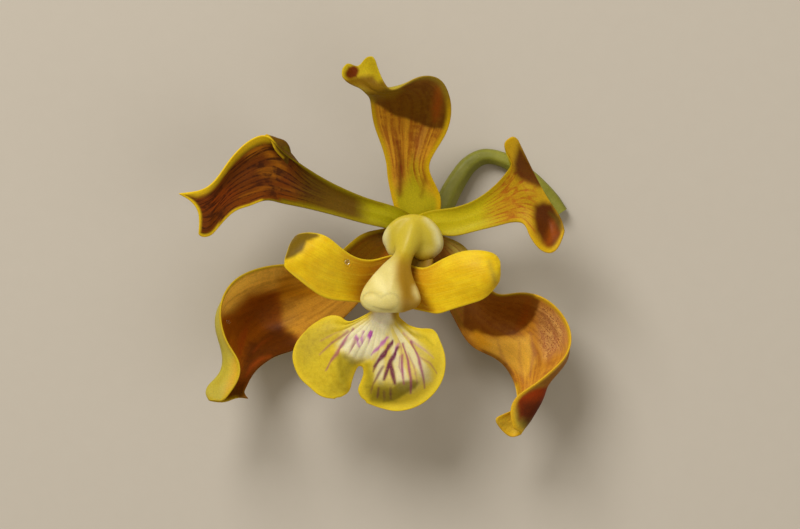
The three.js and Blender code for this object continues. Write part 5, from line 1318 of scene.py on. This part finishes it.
def finishColumnPart(piece):
    # presses in the groove, paints the areas and puts the piece in its frame
    mesh = piece.data
    points = np.zeros(len(mesh.vertices) * 3)
    mesh.vertices.foreach_get("co", points)
    points = points.reshape(-1, 3)
    x, y, z = points.T
    away, share = alongLine(x, y, column["groove"])
    points[:, 2] -= column["grooveDepth"] * bump(away, column["grooveWidth"]) * (z > column["hoodAbove"])
    for area in column["zones"]:
        mask = patchMask(area, x, x, x, y, x) * smoothStep(*column["paintAbove"], z)
        field = mesh.attributes.get(area["tone"]) or mesh.attributes.new(area["tone"], "FLOAT", "POINT")
        before = np.zeros(len(points))
        field.data.foreach_get("value", before)
        if area["tone"] == "green":
            mask = np.maximum(mask, smoothStep(*column["stalkBelow"], z))
        field.data.foreach_set("value", np.maximum(before, mask))
    mesh.vertices.foreach_set("co", placed(points).ravel())
    mesh.shade_smooth()
    mesh.set_sharp_from_angle(angle=math.radians(column["crispAngle"]))
    mesh.update()


def smoothed(piece, passes, group=""):
    smooth = piece.modifiers.new("Smooth", "SMOOTH")
    smooth.factor = 0.5
    smooth.iterations = passes
    smooth.vertex_group = group


def makeColumn():
    at, radius, height = column["foot"]
    foot = [np.array(at) + [0, 0, lift] for lift in np.linspace(0, height, 6)]
    rings = [
        columnRings(70, 72), ellipsoidRings(*column["base"], 40, 60),
        *(ellipsoidRings(*shoulder, 30, 40) for shoulder in column["shoulders"]),
        tubeRings(column["arch"], column["archRadii"], 60, 32), tubeRings(foot, [radius] * 6, 24, 40),
        ellipsoidRings(*column["cap"], 90, 140),
    ]
    cream = columnSkin("Column skin, smooth waxy cream", "#d0be6e", "#d8ca80")
    piece = rawObject("Column", [loftShell(ring) for ring in rings])
    fuse = piece.modifiers.new("Fuse", "REMESH")
    fuse.mode = "VOXEL"
    fuse.voxel_size = column["voxel"]
    smoothed(piece, column["skinPasses"])
    piece = plainMesh(piece, "Column", cream)
    points = np.zeros(len(piece.data.vertices) * 3)
    piece.data.vertices.foreach_get("co", points)
    group = piece.vertex_groups.new(name="Base")
    share = smoothStep(*column["baseFrom"], points[1::3])
    for index in np.flatnonzero(share).tolist():
        group.add([index], float(share[index]), "REPLACE")
    smoothed(piece, column["basePasses"], "Base")
    piece = plainMesh(piece, "Column", cream)
    cap = newPiece("AntherCap", piece.data.copy())
    yellow = columnSkin("Anther cap skin, smooth pale yellow", "#d2c070", "#d8c87c")
    for part, operation, seam, name, skin, node, slot in [
            (piece, "DIFFERENCE", column["capSeam"], "Column", cream, "column", "column_cream"),
            (cap, "INTERSECT", 0.0, "AntherCap", yellow, "anther_cap", "cap_cream")]:
        plug = rawObject("Plug", [loftShell(capRings(seam))])
        cut = part.modifiers.new("Cut", "BOOLEAN")
        cut.operation = operation
        cut.object = plug
        cut.solver = "EXACT"
        part = plainMesh(part, name, skin)
        bpy.data.objects.remove(plug)
        finishColumnPart(part)
        kept(part, node, slot)
    print("column and anther cap made")


# Ovary and pedicel, from the receptacle to the cut end on the surface.
pedicel = {
    "path": [
        [0.3, -0.3, 3.6], [0.4, -0.2, 3.0], [1.3, 0.2, 2.2], [2.5, 1.2, 1.5], [3.3, 2.7, 1.0],
        [4.0, 3.9, 0.8], [4.8, 4.9, 0.6], [5.8, 5.5, 0.5], [6.9, 5.5, 0.5], [8.3, 4.9, 0.5],
        [9.9, 3.7, 0.5], [11.3, 2.3, 0.5], [12.2, 1.0, 0.5],
    ],
    "radii": [1.9, 1.1, 0.95, 0.85, 0.8, 0.75, 0.7, 0.65, 0.6, 0.6, 0.6, 0.6, 0.6],
    "steps": 160,
}


def pedicelSkin():
    # Green stem tissue: a fine lengthwise grain, olive clouds and small pale warts.
    material, tree = blankMaterial("Pedicel skin, olive green and finely grained")
    place = millimetres(tree)
    clouds = addNode(tree, "ShaderNodeTexNoise", {"Vector": place, "Scale": 0.6, "Detail": 5})
    warts = addNode(tree, "ShaderNodeTexVoronoi", {"Vector": place, "Scale": 3.5}, feature="F1")
    grain = addNode(tree, "ShaderNodeTexNoise", {"Vector": place, "Scale": 8.0, "Detail": 3})
    dots = addNode(tree, "ShaderNodeMapRange", {0: warts, 1: 0.22, 2: 0.08})
    colour = paintedOver(tree, "#77761c", [
        ("#8f8c30", addNode(tree, "ShaderNodeMapRange", {0: clouds, 1: 0.35, 2: 0.65})),
        ("#9c9648", dots, 0.5),
        ("#5f5c10", grain, 0.35),
    ])
    relief = addNode(tree, "ShaderNodeMath", {0: dots, 1: 0.6, 2: grain}, operation="MULTIPLY_ADD")
    finishedSkin(tree, colour, relief, (0.5, 0.00005), 0.5, {
        "IOR": 1.42, "Specular IOR Level": 0.4,
        "Subsurface Weight": 0.1, "Subsurface Radius": (0.6, 1.0, 0.2), "Subsurface Scale": 0.0005,
    })
    return material


def makePedicel():
    t = np.linspace(0, 1, pedicel["steps"])
    path = curvePoints(pedicel["path"], t)
    girth = curvePoints(np.array(pedicel["radii"])[:, None], t)[:, 0]
    settings = {"Sides": 48, "Ribs": 6.0, "Rib depth": 0.03, "Ripple": 0.06, "Ripple size": 900.0}
    piece = tubesAlong("OvaryAndPedicel", [(path, girth)], settings, pedicelSkin())
    kept(piece, "ovary_pedicel", "pedicel_green")
    print("ovary and pedicel made")


# Two dewdrops: one on the left side lobe, one on the left sepal's fold.
dew = {"drops": [([-5.0, -2.95, 8.75], 0.2), ([-14.6, -7.75, 4.2], 0.13)], "flatness": 0.7}


def dropTree():
    # a flattened drop on each point, as wide as its girth
    tree, given = openTree("Dewdrops on points", [("Flatness", "Float")])
    girth = addNode(tree, "GeometryNodeInputNamedAttribute", {"Name": "girth"}, data_type="FLOAT")
    drop = addNode(tree, "GeometryNodeMeshUVSphere", {"Segments": 24, "Rings": 14, "Radius": 1.0})
    tall = addNode(tree, "ShaderNodeMath", {0: girth, 1: given["Flatness"]}, operation="MULTIPLY")
    size = addNode(tree, "ShaderNodeCombineXYZ", {0: girth, 1: girth, 2: tall})
    points = addNode(tree, "GeometryNodeMeshToPoints", {"Mesh": given["Geometry"]})
    placing = {"Points": points, "Instance": drop, "Scale": size}
    drops = addNode(tree, "GeometryNodeInstanceOnPoints", placing)
    return closeTree(tree, drops, given["Material"])


def makeDew():
    # Water: clear, with a hard small highlight; the noise keeps its skin from being perfectly even.
    water, tree = blankMaterial("Dew, clear water")
    place = millimetres(tree)
    ripple = addNode(tree, "ShaderNodeTexNoise", {"Vector": place, "Scale": 3.0})
    clear = linearColour("#f8f4e6")
    finishedSkin(tree, clear, ripple, (0.1, 0.00002), 0.03, {"IOR": 1.33, "Transmission Weight": 1.0})
    places, girths = zip(*dew["drops"])
    settings = {"Flatness": dew["flatness"]}
    kept(grown("Dewdrops", places, [], girths, dropTree(), settings, water))
    print("dew made")


# The studio: a pale sheet below the bloom, a soft key light from above and to the left, and a dim fill.
studio = {
    # each light's direction, distance, size and power
    "lights": {"Key": ((-0.35, 0.65, 0.67), 0.5, 0.3, 2.45), "Fill": ((0.6, -0.3, 0.75), 0.6, 0.5, 0.6)},
    "floor": 3.0, "sky": 0.4, "cameraAt": (-0.8, -3.16, 607.0), "lens": 337.5, "sensor": 36.0,
}


def sheetMaterial():
    # Matte backdrop paper: pale, even and without gloss, with a faint pulp grain.
    material, tree = blankMaterial("Backdrop paper, matte")
    place = millimetres(tree)
    pulp = addNode(tree, "ShaderNodeTexNoise", {"Vector": place, "Scale": 0.8, "Detail": 4})
    pulpy = addNode(tree, "ShaderNodeMapRange", {0: pulp, 3: 0.2, 4: 0.8})
    colour = paintedOver(tree, "#b9b0a2", [("#bdb4a6", pulpy)])
    finishedSkin(tree, colour, pulp, (0.1, 0.00005), 0.9, {"Specular IOR Level": 0.1})
    return material


def addSoftLight(name, towards, distance, size, power):
    light = bpy.data.lights.new(name, "AREA")
    light.shape = "DISK"
    light.size = size
    light.energy = power
    lamp = newPiece(name, light)
    lamp.location = np.array(towards) / np.linalg.norm(towards) * distance
    lamp.rotation_mode = "QUATERNION"
    lamp.rotation_quaternion = lamp.location.to_track_quat("Z", "Y")


def makeStudio():
    half = studio["floor"] / 2
    mesh = bpy.data.meshes.new("Backdrop")
    corners = [(-half, -half, 0), (half, -half, 0), (half, half, 0), (-half, half, 0)]
    mesh.from_pydata(corners, [], [(0, 1, 2, 3)])
    mesh.materials.append(sheetMaterial())
    backdrop = newPiece("Backdrop", mesh)
    for name, light in studio["lights"].items():
        addSoftLight(name, *light)
    world = bpy.data.worlds.new("Sky")
    world.use_nodes = True
    background = world.node_tree.nodes["Background"].inputs
    background["Color"].default_value = linearColour("#f6ecd8")
    background["Strength"].default_value = studio["sky"]
    bpy.context.scene.world = world
    bpy.context.scene.view_settings.view_transform = "Standard"
    camera = bpy.data.cameras.new("Camera")
    camera.lens = studio["lens"]
    camera.sensor_width = studio["sensor"]
    camera.clip_start, camera.clip_end = 0.01, 5.0
    holder = newPiece("Camera", camera)
    holder.location = placed(studio["cameraAt"])
    bpy.context.scene.camera = holder
    print("studio made")


makeLip()
makeColumn()
makePedicel()
makeDew()
makeStudio()
